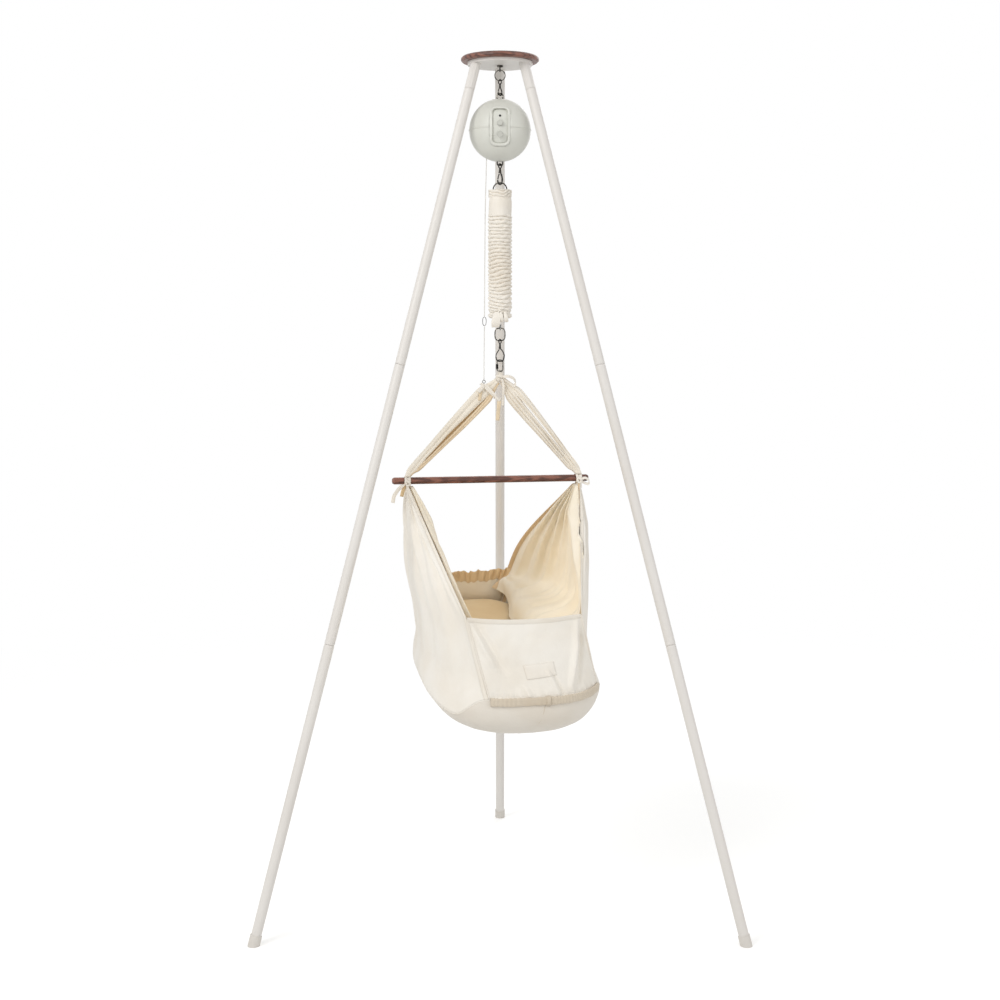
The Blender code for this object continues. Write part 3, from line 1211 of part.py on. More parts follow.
def make_hammock(pivot):
    knot_u = -HAMMOCK_X / math.cos(math.radians(HAMMOCK_YAW))
    knot = Vector((knot_u, 0, KNOT_Z))
    bulge = ((0, 1), (0.6, 0.8), (1, 0.1), (0.8, -0.7), (0, -1))
    knot_mesh = turned([(KNOT_RADIUS * r, KNOT_RADIUS * z) for r, z in bulge], 12, Matrix.Translation(knot))
    high = LINK_LOW + LOWER_LINK_WIRE / 2 + GAP + WEBBING_THICK / 2
    low = KNOT_Z
    loop = link_points(WEBBING_LOOP, high - low, 2.2, (high + low) / 2, 16)
    points = [p.yxz + Vector((knot_u, 0, 0)) for p in loop]
    webbing = swept(points, strip(WEBBING_WIDTH, WEBBING_THICK), across=(1, 0, 0), cyclic=True)
    add("hanging_loop", moved(combine(knot_mesh, ("UNION", webbing)), HAMMOCK), COTTON, pivot)
    radius = BAR_DIA / 2
    end = [(0, BAR_HALF_LENGTH), (radius * 0.7, BAR_HALF_LENGTH - radius * 0.13)]
    end.append((radius, BAR_HALF_LENGTH - radius * 0.65))
    bar = end + [(r, -z) for r, z in reversed(end)]
    lying = Matrix.Translation((0, 0, BAR_Z)) @ Matrix.Rotation(math.pi / 2, 4, "Y")
    add("spreader_bar", moved(turned(bar, 16, lying), HAMMOCK), WALNUT, pivot)
    for side in ("left", "right"):
        strap(side, knot, pivot)
        bar_tie(side, pivot)
        add(f"{side}_side_panel", moved(side_panel(side), HAMMOCK), COTTON, pivot)
    near, far = PERIMETER[1], PERIMETER[3]
    add("near_end_panel", moved(end_panel(near, -1), HAMMOCK), COTTON, pivot)
    add("far_end_panel", moved(end_panel(far[::-1], 1), HAMMOCK), COTTON, pivot)
    make_bed(pivot)


make_stand()
motor = make_top_hardware()
make_motor(motor)
spring_top = make_lower_hook(make_drive(motor))
spring_bottom = make_spring(spring_top)
hammock = make_links(spring_bottom)
make_cord(spring_top, spring_bottom, hammock)
make_hammock(hammock)
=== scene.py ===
import math

import bmesh
import bpy
import numpy as np
from mathutils import Matrix, Vector, noise
from mathutils.bvhtree import BVHTree


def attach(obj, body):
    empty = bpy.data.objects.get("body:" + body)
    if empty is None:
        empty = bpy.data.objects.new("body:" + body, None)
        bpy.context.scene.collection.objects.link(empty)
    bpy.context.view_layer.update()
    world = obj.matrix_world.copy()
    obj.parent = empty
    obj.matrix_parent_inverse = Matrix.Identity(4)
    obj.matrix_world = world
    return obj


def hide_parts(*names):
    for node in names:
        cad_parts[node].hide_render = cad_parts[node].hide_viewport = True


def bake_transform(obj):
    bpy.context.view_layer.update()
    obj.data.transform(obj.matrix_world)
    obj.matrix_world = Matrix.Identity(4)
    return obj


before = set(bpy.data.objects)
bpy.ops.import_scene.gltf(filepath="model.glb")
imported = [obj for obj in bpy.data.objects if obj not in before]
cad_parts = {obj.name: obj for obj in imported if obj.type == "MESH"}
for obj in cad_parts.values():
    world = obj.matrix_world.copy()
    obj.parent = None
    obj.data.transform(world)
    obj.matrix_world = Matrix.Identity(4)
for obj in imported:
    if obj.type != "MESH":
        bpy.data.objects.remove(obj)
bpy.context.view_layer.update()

# Sizes in metres, as in the solids: the stand's axis, the hammock's place and heights, cloths and gaps
STAND_Y = -0.1363
HAMMOCK_X, HAMMOCK_Y, HAMMOCK_YAW = -0.0195, 0.001, 11.5
KNOT_Z, BAR_Z, RIM_Z, BED_Z = 1.1869, 0.9609, 0.7109, 0.4939
BED_U, BED_SLOPE, POCKET_HIGH = 0.016, 0.172, 0.047
KNOT_U = -HAMMOCK_X / math.cos(math.radians(HAMMOCK_YAW))
KNOT_RADIUS = 0.0088
BAR_DIA = 0.0156
TIE_U = {"left": -0.190, "right": 0.2005}
TIE_CLOTH = 0.0016
CLOTH, THIN_CLOTH, RIBBON = 0.0014, 0.0008, 0.0011
CLOTH_REST, GAP = 0.0016, 0.0003
MOTOR_Z, MOTOR_RADIUS = 1.72695, 0.0675
# The way outward on either side of the hammock
OUT = {"left": -1, "right": 1}


# Finishes

def paint(code):
    """A colour written as six hex digits, in linear values."""
    parts = [int(code[i:i + 2], 16) / 255 for i in (0, 2, 4)]
    return tuple(p / 12.92 if p <= 0.04045 else ((p + 0.055) / 1.055) ** 2.4 for p in parts) + (1.0,)


SMOOTHSTEP = {"interpolation_type": "SMOOTHSTEP"}


class Value:
    """A number that varies over a surface. Python's operators make new ones."""

    def __init__(self, tree, socket):
        self.tree, self.socket = tree, socket

    def maths(self, operation, *terms):
        return self.tree.node("ShaderNodeMath", {"operation": operation}, *terms)

    def __add__(self, other):
        return self.maths("ADD", self, other)

    def __sub__(self, other):
        return self.maths("SUBTRACT", self, other)

    def __rsub__(self, other):
        return self.maths("SUBTRACT", other, self)

    def __mul__(self, other):
        return self.maths("MULTIPLY", self, other)

    def sine(self):
        return self.maths("SINE", self)

    def over(self, low, high):
        """0 below low, 1 above high and smooth between."""
        return self.tree.node("ShaderNodeMapRange", SMOOTHSTEP, self, low, high, 0, 1)


class Tree:
    """A node tree whose nodes are made and linked in one call each."""

    def __init__(self, nodes_of):
        self.nodes, self.links = nodes_of.node_tree.nodes, nodes_of.node_tree.links

    def feed(self, socket, value):
        if isinstance(value, Value):
            self.links.new(value.socket, socket)
        elif value is not None:
            socket.default_value = value

    def node(self, kind, settings=None, *inputs, out=0, **named):
        made = self.nodes.new(kind)
        for key, value in (settings or {}).items():
            setattr(made, key, value)
        for socket, value in zip(made.inputs, inputs):
            self.feed(socket, value)
        for key, value in named.items():
            self.feed(made.inputs[key.replace("_", " ")], value)
        return Value(self, made.outputs[out])

    def seen_directly(self):
        """1 for rays that show the background: straight, reflected or through glass."""
        path = self.node("ShaderNodeLightPath").socket.node.outputs
        straight, glossy, through = (Value(self, path[f"Is {kind} Ray"])
                                     for kind in ("Camera", "Glossy", "Transmission"))
        return straight.maths("MAXIMUM", straight.maths("MAXIMUM", straight, glossy), through)


class Finish(Tree):
    """A material: its Principled shader and what varies over it."""

    def __init__(self, name, colour, roughness, **constants):
        self.material = bpy.data.materials.new(name)
        self.material.use_nodes = True
        super().__init__(self.material)
        self.shader = self.nodes["Principled BSDF"]
        self.material.diffuse_color = colour
        self.put("Base Color", colour)
        self.put("Roughness", roughness)
        for socket, value in constants.items():
            self.put(socket.replace("_", " "), value)
        self.place = self.node("ShaderNodeTexCoord", out="Object")

    def put(self, socket, value):
        self.feed(self.shader.inputs[socket], value)

    def mix(self, share, one, two):
        """The colour one, turning to two where share is 1."""
        unused = [None] * 5
        made = self.node("ShaderNodeMix", {"data_type": "RGBA"}, share, *unused, one, two)
        return Value(self, made.socket.node.outputs[2])

    def cloud(self, scale, detail=3.0, stretch=(1, 1, 1)):
        """Soft noise from 0 to 1 at a scale per metre."""
        where = self.place
        if stretch != (1, 1, 1):
            where = self.node("ShaderNodeVectorMath", {"operation": "MULTIPLY"}, where, stretch)
        return self.node("ShaderNodeTexNoise", Vector=where, Scale=scale, Detail=detail, Roughness=0.55)

    def axes(self):
        """The object's X, Y and Z as three numbers."""
        made = self.node("ShaderNodeSeparateXYZ", None, self.place)
        return [Value(self, socket) for socket in made.socket.node.outputs]

    def relief(self, height, distance, strength=1.0, over=None):
        """A bump, on top of another one if given."""
        return self.node("ShaderNodeBump", Strength=strength, Distance=distance, Height=height, Normal=over)


def woven(finish, pitch):
    """A plain weave's threads, as a height from about 0 to 1."""
    x, y, z = (axis * (math.tau / pitch) for axis in finish.axes())
    return (x.sine() * z.sine() + y.sine() * z.sine() + x.sine() * y.sine()) * 0.3 + 0.5


def cotton(name, light, shade, pitch=0.0011, hem=0.0, band_code=None, band_share=0.3):
    """Washed natural cotton: weave, slubs, creases and cloudy colour. A hem is a sewn band at the edges."""
    finish = Finish(name, paint(light), 0.92, Sheen_Weight=0.25, Sheen_Roughness=0.5,
                    Specular_IOR_Level=0.25)
    blotch = finish.cloud(9).over(0.35, 0.7)
    colour = finish.mix(blotch * 0.35, paint(light), paint(shade))
    slubs = finish.cloud(420, 1.0, (1, 1, 0.08)).over(0.62, 0.8)
    colour = finish.mix(slubs * 0.14, colour, paint(shade))
    crumple = finish.cloud(26, 4.0)
    bump = finish.relief(crumple, 0.0028, 0.55)
    if pitch:
        bump = finish.relief(woven(finish, pitch), 0.00012, 0.3, bump)
    if hem:
        edge, run = (finish.node("ShaderNodeAttribute", {"attribute_name": name}, out="Fac")
                     for name in ("edge", "run"))
        band = 1 - edge.over(hem - 0.0007, hem + 0.0007)
        line = edge.over(hem - 0.0027, hem - 0.0019) * (1 - edge.over(hem - 0.0013, hem - 0.0005))
        stitch = (run * (math.tau / 0.0032)).sine().over(-0.2, 0.2) * line
        colour = finish.mix(band * band_share, colour, paint(band_code or shade))
        colour = finish.mix(line * (1 - stitch) * 0.35, colour, paint(shade))
        bump = finish.relief(band * 0.7 - line * 0.5 + stitch * 0.5, 0.0012, 0.8, bump)
    finish.put("Base Color", colour)
    finish.put("Normal", bump)
    finish.put("Roughness", finish.cloud(60) * 0.1 + 0.85)
    return finish.material


ALONG_GRAIN = (0.06, 1.0, 1.0)


def walnut(name):
    """Oiled dark walnut with its grain along the object's X."""
    finish = Finish(name, paint("6a4030"), 0.45, Coat_Roughness=0.3)
    fibre = finish.cloud(260, 5.0, ALONG_GRAIN)
    figure = finish.cloud(34, 3.0, ALONG_GRAIN)
    rings = ((figure * 42.0).sine() * 0.5 + 0.5) * 0.5 + fibre * 0.5
    colour = finish.mix(rings.over(0.25, 0.8), paint("512c20"), paint("865443"))
    pores = finish.cloud(900, 2.0, ALONG_GRAIN).over(0.60, 0.72)
    finish.put("Base Color", finish.mix(pores * 0.5, colour, paint("351d14")))
    finish.put("Roughness", fibre * 0.22 + 0.36)
    finish.put("Coat Weight", fibre * 0.2 + 0.1)
    finish.put("Normal", finish.relief(fibre - pores * 0.6, 0.0005, 0.5))
    return finish.material


def enamel(name, code, roughness, worn="cfcac2", grain=900):
    """Powder coat or moulded plastic: a fine even texture and a slight unevenness of gloss."""
    finish = Finish(name, paint(code), roughness)
    fine = finish.cloud(grain, 2.0)
    haze = finish.cloud(5, 2.0).over(0.3, 0.8)
    finish.put("Base Color", finish.mix(haze * 0.5 + fine * 0.06, paint(code), paint(worn)))
    finish.put("Roughness", fine * 0.10 + haze * 0.06 + (roughness - 0.08))
    finish.put("Normal", finish.relief(fine, 0.00012, 0.25))
    return finish.material


def plated(name, code, roughness, painted_reflection_colour="4a4844"):
    """Nickel or steel wire: bright, with dark noise patches as painted reflection, and fine drawing lines.
    """
    finish = Finish(name, paint(code), roughness, Metallic=1.0)
    # patch: where the colour turns to the dark one, a painted reflection
    patch = finish.cloud(190, 2.0).over(0.42, 0.56)
    fine = finish.cloud(2600, 2.0)
    finish.put("Base Color", finish.mix(patch * 0.92, paint(code), paint(painted_reflection_colour)))
    finish.put("Roughness", patch * 0.16 + fine * 0.08 + (roughness - 0.06))
    finish.put("Normal", finish.relief(fine, 0.00008, 0.4))
    return finish.material


def soft_rubber(name, code):
    finish = Finish(name, paint(code), 0.7)
    fine = finish.cloud(1400, 2.0)
    dust = finish.cloud(40, 3.0).over(0.4, 0.75)
    finish.put("Base Color", finish.mix(dust * 0.35, paint(code), paint("c9c2b8")))
    finish.put("Roughness", fine * 0.1 + dust * 0.12 + 0.6)
    finish.put("Normal", finish.relief(fine, 0.0003, 0.5))
    return finish.material


def braided(name, code):
    """A thin braided cord: slanting strands crossing round it."""
    finish = Finish(name, paint(code), 0.85, Sheen_Weight=0.2)
    x, y, z = finish.axes()
    strands = ((x + z * 0.7) * 5200).sine() * ((y - z * 0.7) * 5200).sine() * 0.5 + 0.5
    finish.put("Base Color", finish.mix(strands * 0.3, paint(code), paint("c9c4ba")))
    finish.put("Normal", finish.relief(strands, 0.0004, 0.6))
    return finish.material


def board_green(name):
    finish = Finish(name, paint("1d5a38"), 0.45)
    tracks = finish.cloud(300, 1.0).over(0.48, 0.52)
    finish.put("Base Color", finish.mix(tracks * 0.5, paint("1d5a38"), paint("3c8a5c")))
    finish.put("Normal", finish.relief(tracks, 0.0002, 0.5))
    return finish.material


OUTER = cotton("cotton_outside", "f0ebe2", "e4d9c7", hem=0.0105)
# Inside faces: a lighter, yellower copy of the cotton, partly the cloth's own cream and partly painted light
# for light let through the thin cloth.
INNER = cotton("cotton_inside", "fbf2e0", "efdfbf", hem=0.0140, band_code="dcb988", band_share=0.75)
FAR_INNER = cotton("cotton_far_inside", "fbf0dc", "f4e3c5", hem=0.0270, band_code="e2c292", band_share=0.85)
PLAIN = cotton("cotton_plain", "eee8de", "ddd0bc")
# A tan copy of the cream cloth: painted shade on the sleeve's and the pocket's insides; also used for two
# hanging tails.
WARM = cotton("cotton_warm", "e6d5ba", "d3b68a")
BAND = cotton("cotton_band", "f0e9dd", "dccdb4", pitch=0)
# A tan copy of the strap cloth for the bands' back faces and the left strap's inner band: painted shade.
BAND_INNER = cotton("cotton_band_inner", "e6d5ba", "cfb083", pitch=0)
# A darker copy of the cloth for the pocket's downward face: painted shade.
UNDERSIDE = cotton("cotton_underside", "e2dbd0", "d3c7b6")
BINDING = cotton("cotton_binding", "d5c9b7", "bba88c")
# The cream cloth's tan shade: painted shade on the straps' back layers; also used for one bar tail.
TAN = cotton("cotton_tan", "e3caa2", "cdac7b")
# The mattress cover: the cream cloth's tan shade, lightened for light let through the cloth: painted shade
# and painted light.
PAD = cotton("pad_cotton", "f6ddb2", "ecca94")
CORD = braided("white_cord", "efece6")
DISC_WALNUT = walnut("walnut_disc")
BAR_WALNUT = walnut("walnut_bar")
STAND = enamel("stand_coat", "dedad5", 0.45, "d6d0c9")
SHELL = enamel("off_white_shell", "d6d6ce", 0.5, "c2c1b6", 1400)
KNOB = enamel("grey_knob", "c3c3bb", 0.4, "b0afa5", 1400)
DARK = enamel("black_plastic", "1c1d1e", 0.2, "2c2d2e", 1400)
# The plated finishes' dark patches are painted reflection; bright nickel's colour is also kept dark as
# painted reflection.
NICKEL = plated("bright_nickel", "7f7b74", 0.22, "24221f")
DARK_NICKEL = plated("dark_nickel", "4a4743", 0.24, "131211")
STEEL = plated("drawn_steel", "b4b4b2", 0.32, "7c7c7a")
RUBBER = soft_rubber("pale_rubber", "d6d1ca")
BOARD = board_green("green_board")

CARRIED = (
    (DISC_WALNUT, ("top_disc",)),
    (BAR_WALNUT, ("spreader_bar",)),
    (STAND, ("top_plate",)),
    (RUBBER, ("foot_cap_left", "foot_cap_right", "foot_cap_back")),
    (NICKEL, ("eye_bolt", "top_ring", "top_bail", "spring_ring", "d_link", "lower_link", "cord_clip",
              "cord_ring")),
    (DARK_NICKEL, ("top_hook", "top_hook_gate", "lower_hook", "lower_hook_gate", "carabiner",
                   "carabiner_gate", "link_sleeve", "drive_yoke")),
    (STEEL, ("motor_chassis", "gear_motor", "crank_disc")),
    (SHELL, ("control_panel",)),
    (KNOB, ("timer_knob", "speed_knob")),
    (DARK, ("status_lens", "power_inlet")),
    (BOARD, ("control_board",)),
)
for material, names in CARRIED:
    for node_name in names:
        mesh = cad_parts[node_name].data
        mesh.materials.clear()
        mesh.materials.append(material)


# Camera, light and floor

def link(name, data):
    """A new object of the scene that shows this data."""
    made = bpy.data.objects.new(name, data)
    bpy.context.collection.objects.link(made)
    return made


def look_from_the_front():
    """A camera at chest height in front of the stand, pitched slightly down."""
    data = bpy.data.cameras.new("camera")
    data.lens, data.sensor_width = 56.56, 36
    camera = link("camera", data)
    camera.location = (0, STAND_Y - 3.501, 1.270)
    camera.rotation_euler = (math.radians(90 - 5.8), 0, 0)
    bpy.context.scene.camera = camera


def lamp(name, place, height, size, power):
    """A square soft lamp that faces the part's middle at a height."""
    data = bpy.data.lights.new(name, "AREA")
    data.shape, data.size, data.energy = "SQUARE", size, power
    made = link(name, data)
    made.location = place
    made.rotation_euler = (Vector((0, STAND_Y, height)) - Vector(place)).to_track_quat("-Z", "Y").to_euler()


def surround():
    """White where it is seen, dimmer as a light."""
    world = bpy.data.worlds.new("studio")
    bpy.context.scene.world = world
    world.use_nodes = True
    tree = Tree(world)
    dim = tree.nodes["Background"]
    dim.inputs["Color"].default_value = (1, 1, 1, 1)
    dim.inputs["Strength"].default_value = 0.66
    white = tree.node("ShaderNodeBackground", None, (1, 1, 1, 1), 1.0)
    pick = tree.node("ShaderNodeMixShader", None, tree.seen_directly(), Value(tree, dim.outputs[0]), white)
    tree.feed(tree.nodes["World Output"].inputs[0], pick)


def floor():
    """A plain pale floor that keeps the shadow and turns to white far from the part."""
    mesh = bpy.data.meshes.new("floor")
    mesh.from_pydata([(-14, -10, 0), (14, -10, 0), (14, 18, 0), (-14, 18, 0)], [], [(0, 1, 2, 3)])
    paper = Finish("pale_floor", (0.80, 0.80, 0.79, 1), 0.9)
    shown = paper.seen_directly()
    glow = paper.node("ShaderNodeEmission", Strength=shown * 0.30)
    both = paper.node("ShaderNodeAddShader", None, Value(paper, paper.shader.outputs[0]), glow)
    reach = paper.node("ShaderNodeVectorMath", {"operation": "LENGTH"}, paper.place, out="Value")
    share = shown * reach.over(0.9, 3.4)
    fade = paper.node("ShaderNodeMixShader", None, share, both, paper.node("ShaderNodeEmission"))
    paper.feed(paper.nodes["Material Output"].inputs[0], fade)
    mesh.materials.append(paper.material)
    link("floor", mesh)


def studio():
    """The surround, the floor and three soft lamps."""
    surround()
    floor()
    lamp("key", (-2.6, -3.2, 3.4), 0.9, 2.0, 84)
    lamp("fill", (3.0, -2.6, 2.0), 0.9, 2.4, 24)
    lamp("back", (0.8, 3.2, 3.0), 1.0, 2.4, 30)
    bpy.context.scene.view_settings.view_transform = "Standard"


# Making meshes

def hammock_place():
    turn = math.radians(HAMMOCK_YAW)
    return Matrix.Translation((HAMMOCK_X, HAMMOCK_Y + STAND_Y, 0)) @ Matrix.Rotation(turn, 4, "Z")


HAMMOCK = hammock_place()


def turned_outward(mesh, closed=False):
    """Turns a mesh's faces outward. With closed, its holes are filled first."""
    bm = bmesh.new()
    bm.from_mesh(mesh)
    if closed:
        bmesh.ops.holes_fill(bm, edges=[e for e in bm.edges if e.is_boundary], sides=0)
    bmesh.ops.recalc_face_normals(bm, faces=bm.faces)
    bm.to_mesh(mesh)
    bm.free()


def object_from(name, points, faces, finishes, body, slots=None, place=None):
    """A smooth mesh object in place. slots gives each face its finish."""
    mesh = bpy.data.meshes.new(name)
    points = np.asarray(points, float).reshape(-1, 3)
    mesh.from_pydata(points.tolist(), [], [list(map(int, face)) for face in faces])
    for finish in finishes:
        mesh.materials.append(finish)
    if slots is not None:
        mesh.polygons.foreach_set("material_index", np.asarray(slots, np.int32))
    if place is not None:
        mesh.transform(place)
    turned_outward(mesh)
    mesh.shade_smooth()
    made = link(name, mesh)
    if body:
        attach(made, body)
    return made


def tube_faces(rings, sides, cyclic=False):
    """Faces between rings of points, closed by the first and last ring unless the rings go round."""
    faces = []
    for i in range(rings if cyclic else rings - 1):
        j = (i + 1) % rings
        faces += [(i * sides + k, i * sides + (k + 1) % sides, j * sides + (k + 1) % sides, j * sides + k)
                  for k in range(sides)]
    if not cyclic:
        faces += [tuple(range(sides)), tuple(range((rings - 1) * sides, rings * sides))]
    return faces


def set_attribute(made, name, values):
    """Gives both faces of a sheet one number for each point of its grid."""
    values = np.concatenate([values.ravel()] * 2).astype(np.float32)
    made.data.attributes.new(name, "FLOAT", "POINT").data.foreach_set("value", values)


def normals_of(grid, around=False):
    """Unit normals of a grid of points, rows by columns."""
    down = np.gradient(grid, axis=0)
    if around:
        over = (np.roll(grid, -1, 1) - np.roll(grid, 1, 1)) / 2
    else:
        over = np.gradient(grid, axis=1)
    n = np.cross(down, over)
    return n / np.maximum(np.linalg.norm(n, axis=2, keepdims=True), 1e-12)


def facing(grid, way):
    """The grid with its columns in the order that makes its normals point a given way."""
    return grid if float((normals_of(grid) * np.array(way)).sum()) > 0 else grid[:, ::-1]


def runs_of(grid, axis):
    """Length along a grid's rows or columns from its first point."""
    steps = np.linalg.norm(np.diff(grid, axis=axis), axis=2)
    zero = np.zeros_like(np.take(steps, [0], axis=axis))
    return np.cumsum(np.concatenate([zero, steps], axis=axis), axis=axis)


def shares_of(high, wide):
    """Each point's share of the way across and down a grid."""
    return np.meshgrid(np.linspace(0, 1, wide), np.linspace(0, 1, high))


def run_along(line):
    """The length along a line of points up to each of them."""
    return np.concatenate([[0], np.cumsum(np.linalg.norm(np.diff(line, axis=0), axis=1))])


def sheet(name, grid, thick, finishes, body="hammock", hems="", place=HAMMOCK, around=False):
    """A closed sheet of cloth whose middle is a grid of points. hems names its sewn edges: l, r and t."""
    high, wide = grid.shape[:2]
    n = normals_of(grid, around)
    points = np.concatenate([(grid + n * thick / 2).reshape(-1, 3), (grid - n * thick / 2).reshape(-1, 3)])
    index = np.arange(high * wide).reshape(high, wide)
    if around:
        index = np.concatenate([index, index[:, :1]], 1)
    face = np.stack([index[:-1, :-1], index[:-1, 1:], index[1:, 1:], index[1:, :-1]], -1).reshape(-1, 4)
    back = face[:, ::-1] + high * wide
    lines = [index[0], index[-1]] + ([] if around else [index[:, 0], index[:, -1]])
    rims = [(a, b, b + high * wide, a + high * wide) for line in lines for a, b in zip(line[:-1], line[1:])]
    faces = [*face.tolist(), *back.tolist(), *rims]
    slots = [0] * len(face) + [len(finishes) - 1] * len(back) + [0] * len(rims)
    made = object_from(name, points, faces, finishes, body, slots, place)
    across, along = runs_of(grid, 1), runs_of(grid, 0)
    choices = {"l": (across, along), "r": (across[:, -1:] - across, along), "t": (along, across)}
    far, run = np.full((high, wide), 1.0), along
    for side in hems:
        near, way = choices[side]
        run = np.where(near < far, way, run)
        far = np.minimum(far, near)
    set_attribute(made, "edge", far)
    set_attribute(made, "run", run)
    return made


def curve_through(keys, per_span, cyclic=False):
    """Points on a smooth curve through the keys."""
    keys = [np.asarray(k, float) for k in keys]
    count = len(keys)
    out = []
    spans = count if cyclic else count - 1
    for i in range(spans):
        b, c = keys[i], keys[(i + 1) % count]
        a = keys[i - 1] if i or cyclic else 2 * b - c
        d = keys[(i + 2) % count] if cyclic or i + 2 < count else 2 * c - b
        for k in range(per_span):
            t = k / per_span
            out.append(0.5 * (2 * b + (c - a) * t + (2 * a - 5 * b + 4 * c - d) * t * t
                              + (3 * b - a - 3 * c + d) * t ** 3))
    if not cyclic:
        out.append(keys[-1])
    return np.array(out)


def swept(name, path, section, finish, body, across=None, cyclic=False, scales=None, place=None,
          twist=None):
    """A closed body: a section of (a, b) points carried along a path."""
    path = np.asarray(path, float)
    count = len(path)
    before = np.roll(path, 1, 0) if cyclic else np.vstack([path[:1], path[:-1]])
    after = np.roll(path, -1, 0) if cyclic else np.vstack([path[1:], path[-1:]])
    along = after - before
    along /= np.linalg.norm(along, axis=1, keepdims=True)
    points = []
    side = None
    for i in range(count):
        if across is not None:
            side = np.asarray(across[i] if np.ndim(across) == 2 else across, float)
        elif side is None:
            side = np.array(Vector(along[i]).orthogonal())
        side = side - along[i] * side.dot(along[i])
        side /= np.linalg.norm(side)
        up = np.cross(along[i], side)
        a, b = side, up
        if twist is not None:
            c, s = math.cos(twist[i]), math.sin(twist[i])
            a, b = side * c + up * s, up * c - side * s
        broad, deep = np.broadcast_to(1.0 if scales is None else scales[i], 2)
        points += [path[i] + (a * p * broad + b * q * deep) for p, q in section]
    made = object_from(name, points, tube_faces(count, len(section), cyclic), [finish], body, place=place)
    return made


def circle(radius, sides):
    """A round section."""
    return [(radius * math.cos(math.tau * k / sides), radius * math.sin(math.tau * k / sides))
            for k in range(sides)]


def tape(width, thick):
    """A flat ribbon's section with soft edges."""
    w, t = width / 2, thick / 2
    return [(-w, -t * 0.5), (-w * 0.9, -t), (w * 0.9, -t), (w, -t * 0.5),
            (w, t * 0.5), (w * 0.9, t), (-w * 0.9, t), (-w, t * 0.5)]


def smooth(value, low, high):
    """0 below low, 1 above high and smooth between."""
    t = np.clip((np.asarray(value, float) - low) / (high - low), 0, 1)
    return t * t * (3 - 2 * t)


def rippled(points, amount, scale, seed):
    """Points moved by smooth noise, the same each run."""
    flat = np.asarray(points, float).reshape(-1, 3)
    shift = Vector((seed * 3.1, seed * 7.7, seed * 1.3))
    out = np.array([noise.noise(Vector(p) * scale + shift) for p in flat])
    return out.reshape(np.shape(points)[:-1]) * amount


# The bucket's own shape, in the hammock's axes: u across, v to the far end

NEAR_ANGLES, FAR_ANGLES = (254.5, 316.0), (72.0, 114.0)
RIM_MID = {"left": -0.182, "right": 0.198}
RIM_NEAR = {"left": -0.114, "right": 0.127}
RIM_FAR = {"left": -0.110, "right": 0.118}
RIM_HALF_LENGTH, RIM_SLOPE, RIM_FULLNESS, RIM_SAG = 0.318, 0.014, 2.24, 0.008
BED_HALF_WIDTH, BED_HALF_LENGTH, BED_TAPER, BED_SQUARENESS = 0.195, 0.335, 0.066, 3.2
EDGE_HEIGHT, EDGE_INSET = 0.080, 0.090
PANEL_REACH, END_ANGLE = 0.992, 0.35
LINING, LINING_INSIDE = 0.0012, 0.0030


def bent(value, power):
    """A sine or cosine raised to a power with its sign kept, for squarer outlines."""
    return math.copysign(abs(value) ** power, value)


def bed_point(angle, inset, height):
    """A point of the bed's outline, drawn in by inset, at a height above its sloping underside."""
    turn = math.radians(angle)
    c, s = math.cos(turn), math.sin(turn)
    power = 2 / BED_SQUARENESS
    along = bent(s, power)
    half_width = BED_HALF_WIDTH - BED_TAPER * max(0.0, along) ** 2
    u = (half_width - inset) * bent(c, power)
    v = (BED_HALF_LENGTH - inset) * along
    return np.array((BED_U + u, v, BED_Z + BED_SLOPE * v + height))


def edge_point(angle, height, lining=0.0, slack=0.0):
    """A point of the pocket's rounded edge, or of its lining."""
    rise = max(0.0, 1 - height / EDGE_HEIGHT)
    inset = EDGE_INSET * (1 - math.sqrt(1 - rise * rise))
    return bed_point(angle, inset + lining * (1 - rise) + slack, height + lining * rise)


def pocket_top(angle):
    """The pocket's height at an angle round the bed. It rises to the trim at the near end."""
    angle %= 360
    first, last = NEAR_ANGLES
    rise = smooth(angle, first - 30, first) * (1 - smooth(angle, last, last + 30))
    return POCKET_HIGH + 0.0497 * float(rise)


def panel_foot(angle):
    """Where a panel's lower edge stands, just above the pocket's top."""
    return edge_point(angle, pocket_top(angle)) + np.array((0, 0, 3 * GAP))


def even_angles(first, last, count):
    """Angles whose points lie evenly along the bed's outline."""
    fine = np.linspace(first, last, 600)
    run = run_along([bed_point(a, 0, 0) for a in fine])
    return np.interp(np.linspace(0, run[-1], count), run, fine)


def rim_point(side, share):
    """A point of the rim at a share from the near end, -1, to the far end, 1."""
    end = RIM_NEAR[side] if share < 0 else RIM_FAR[side]
    u = RIM_MID[side] + (end - RIM_MID[side]) * abs(share) ** RIM_FULLNESS
    v = RIM_HALF_LENGTH * share
    return np.array((u, v, RIM_Z + RIM_SLOPE * v))


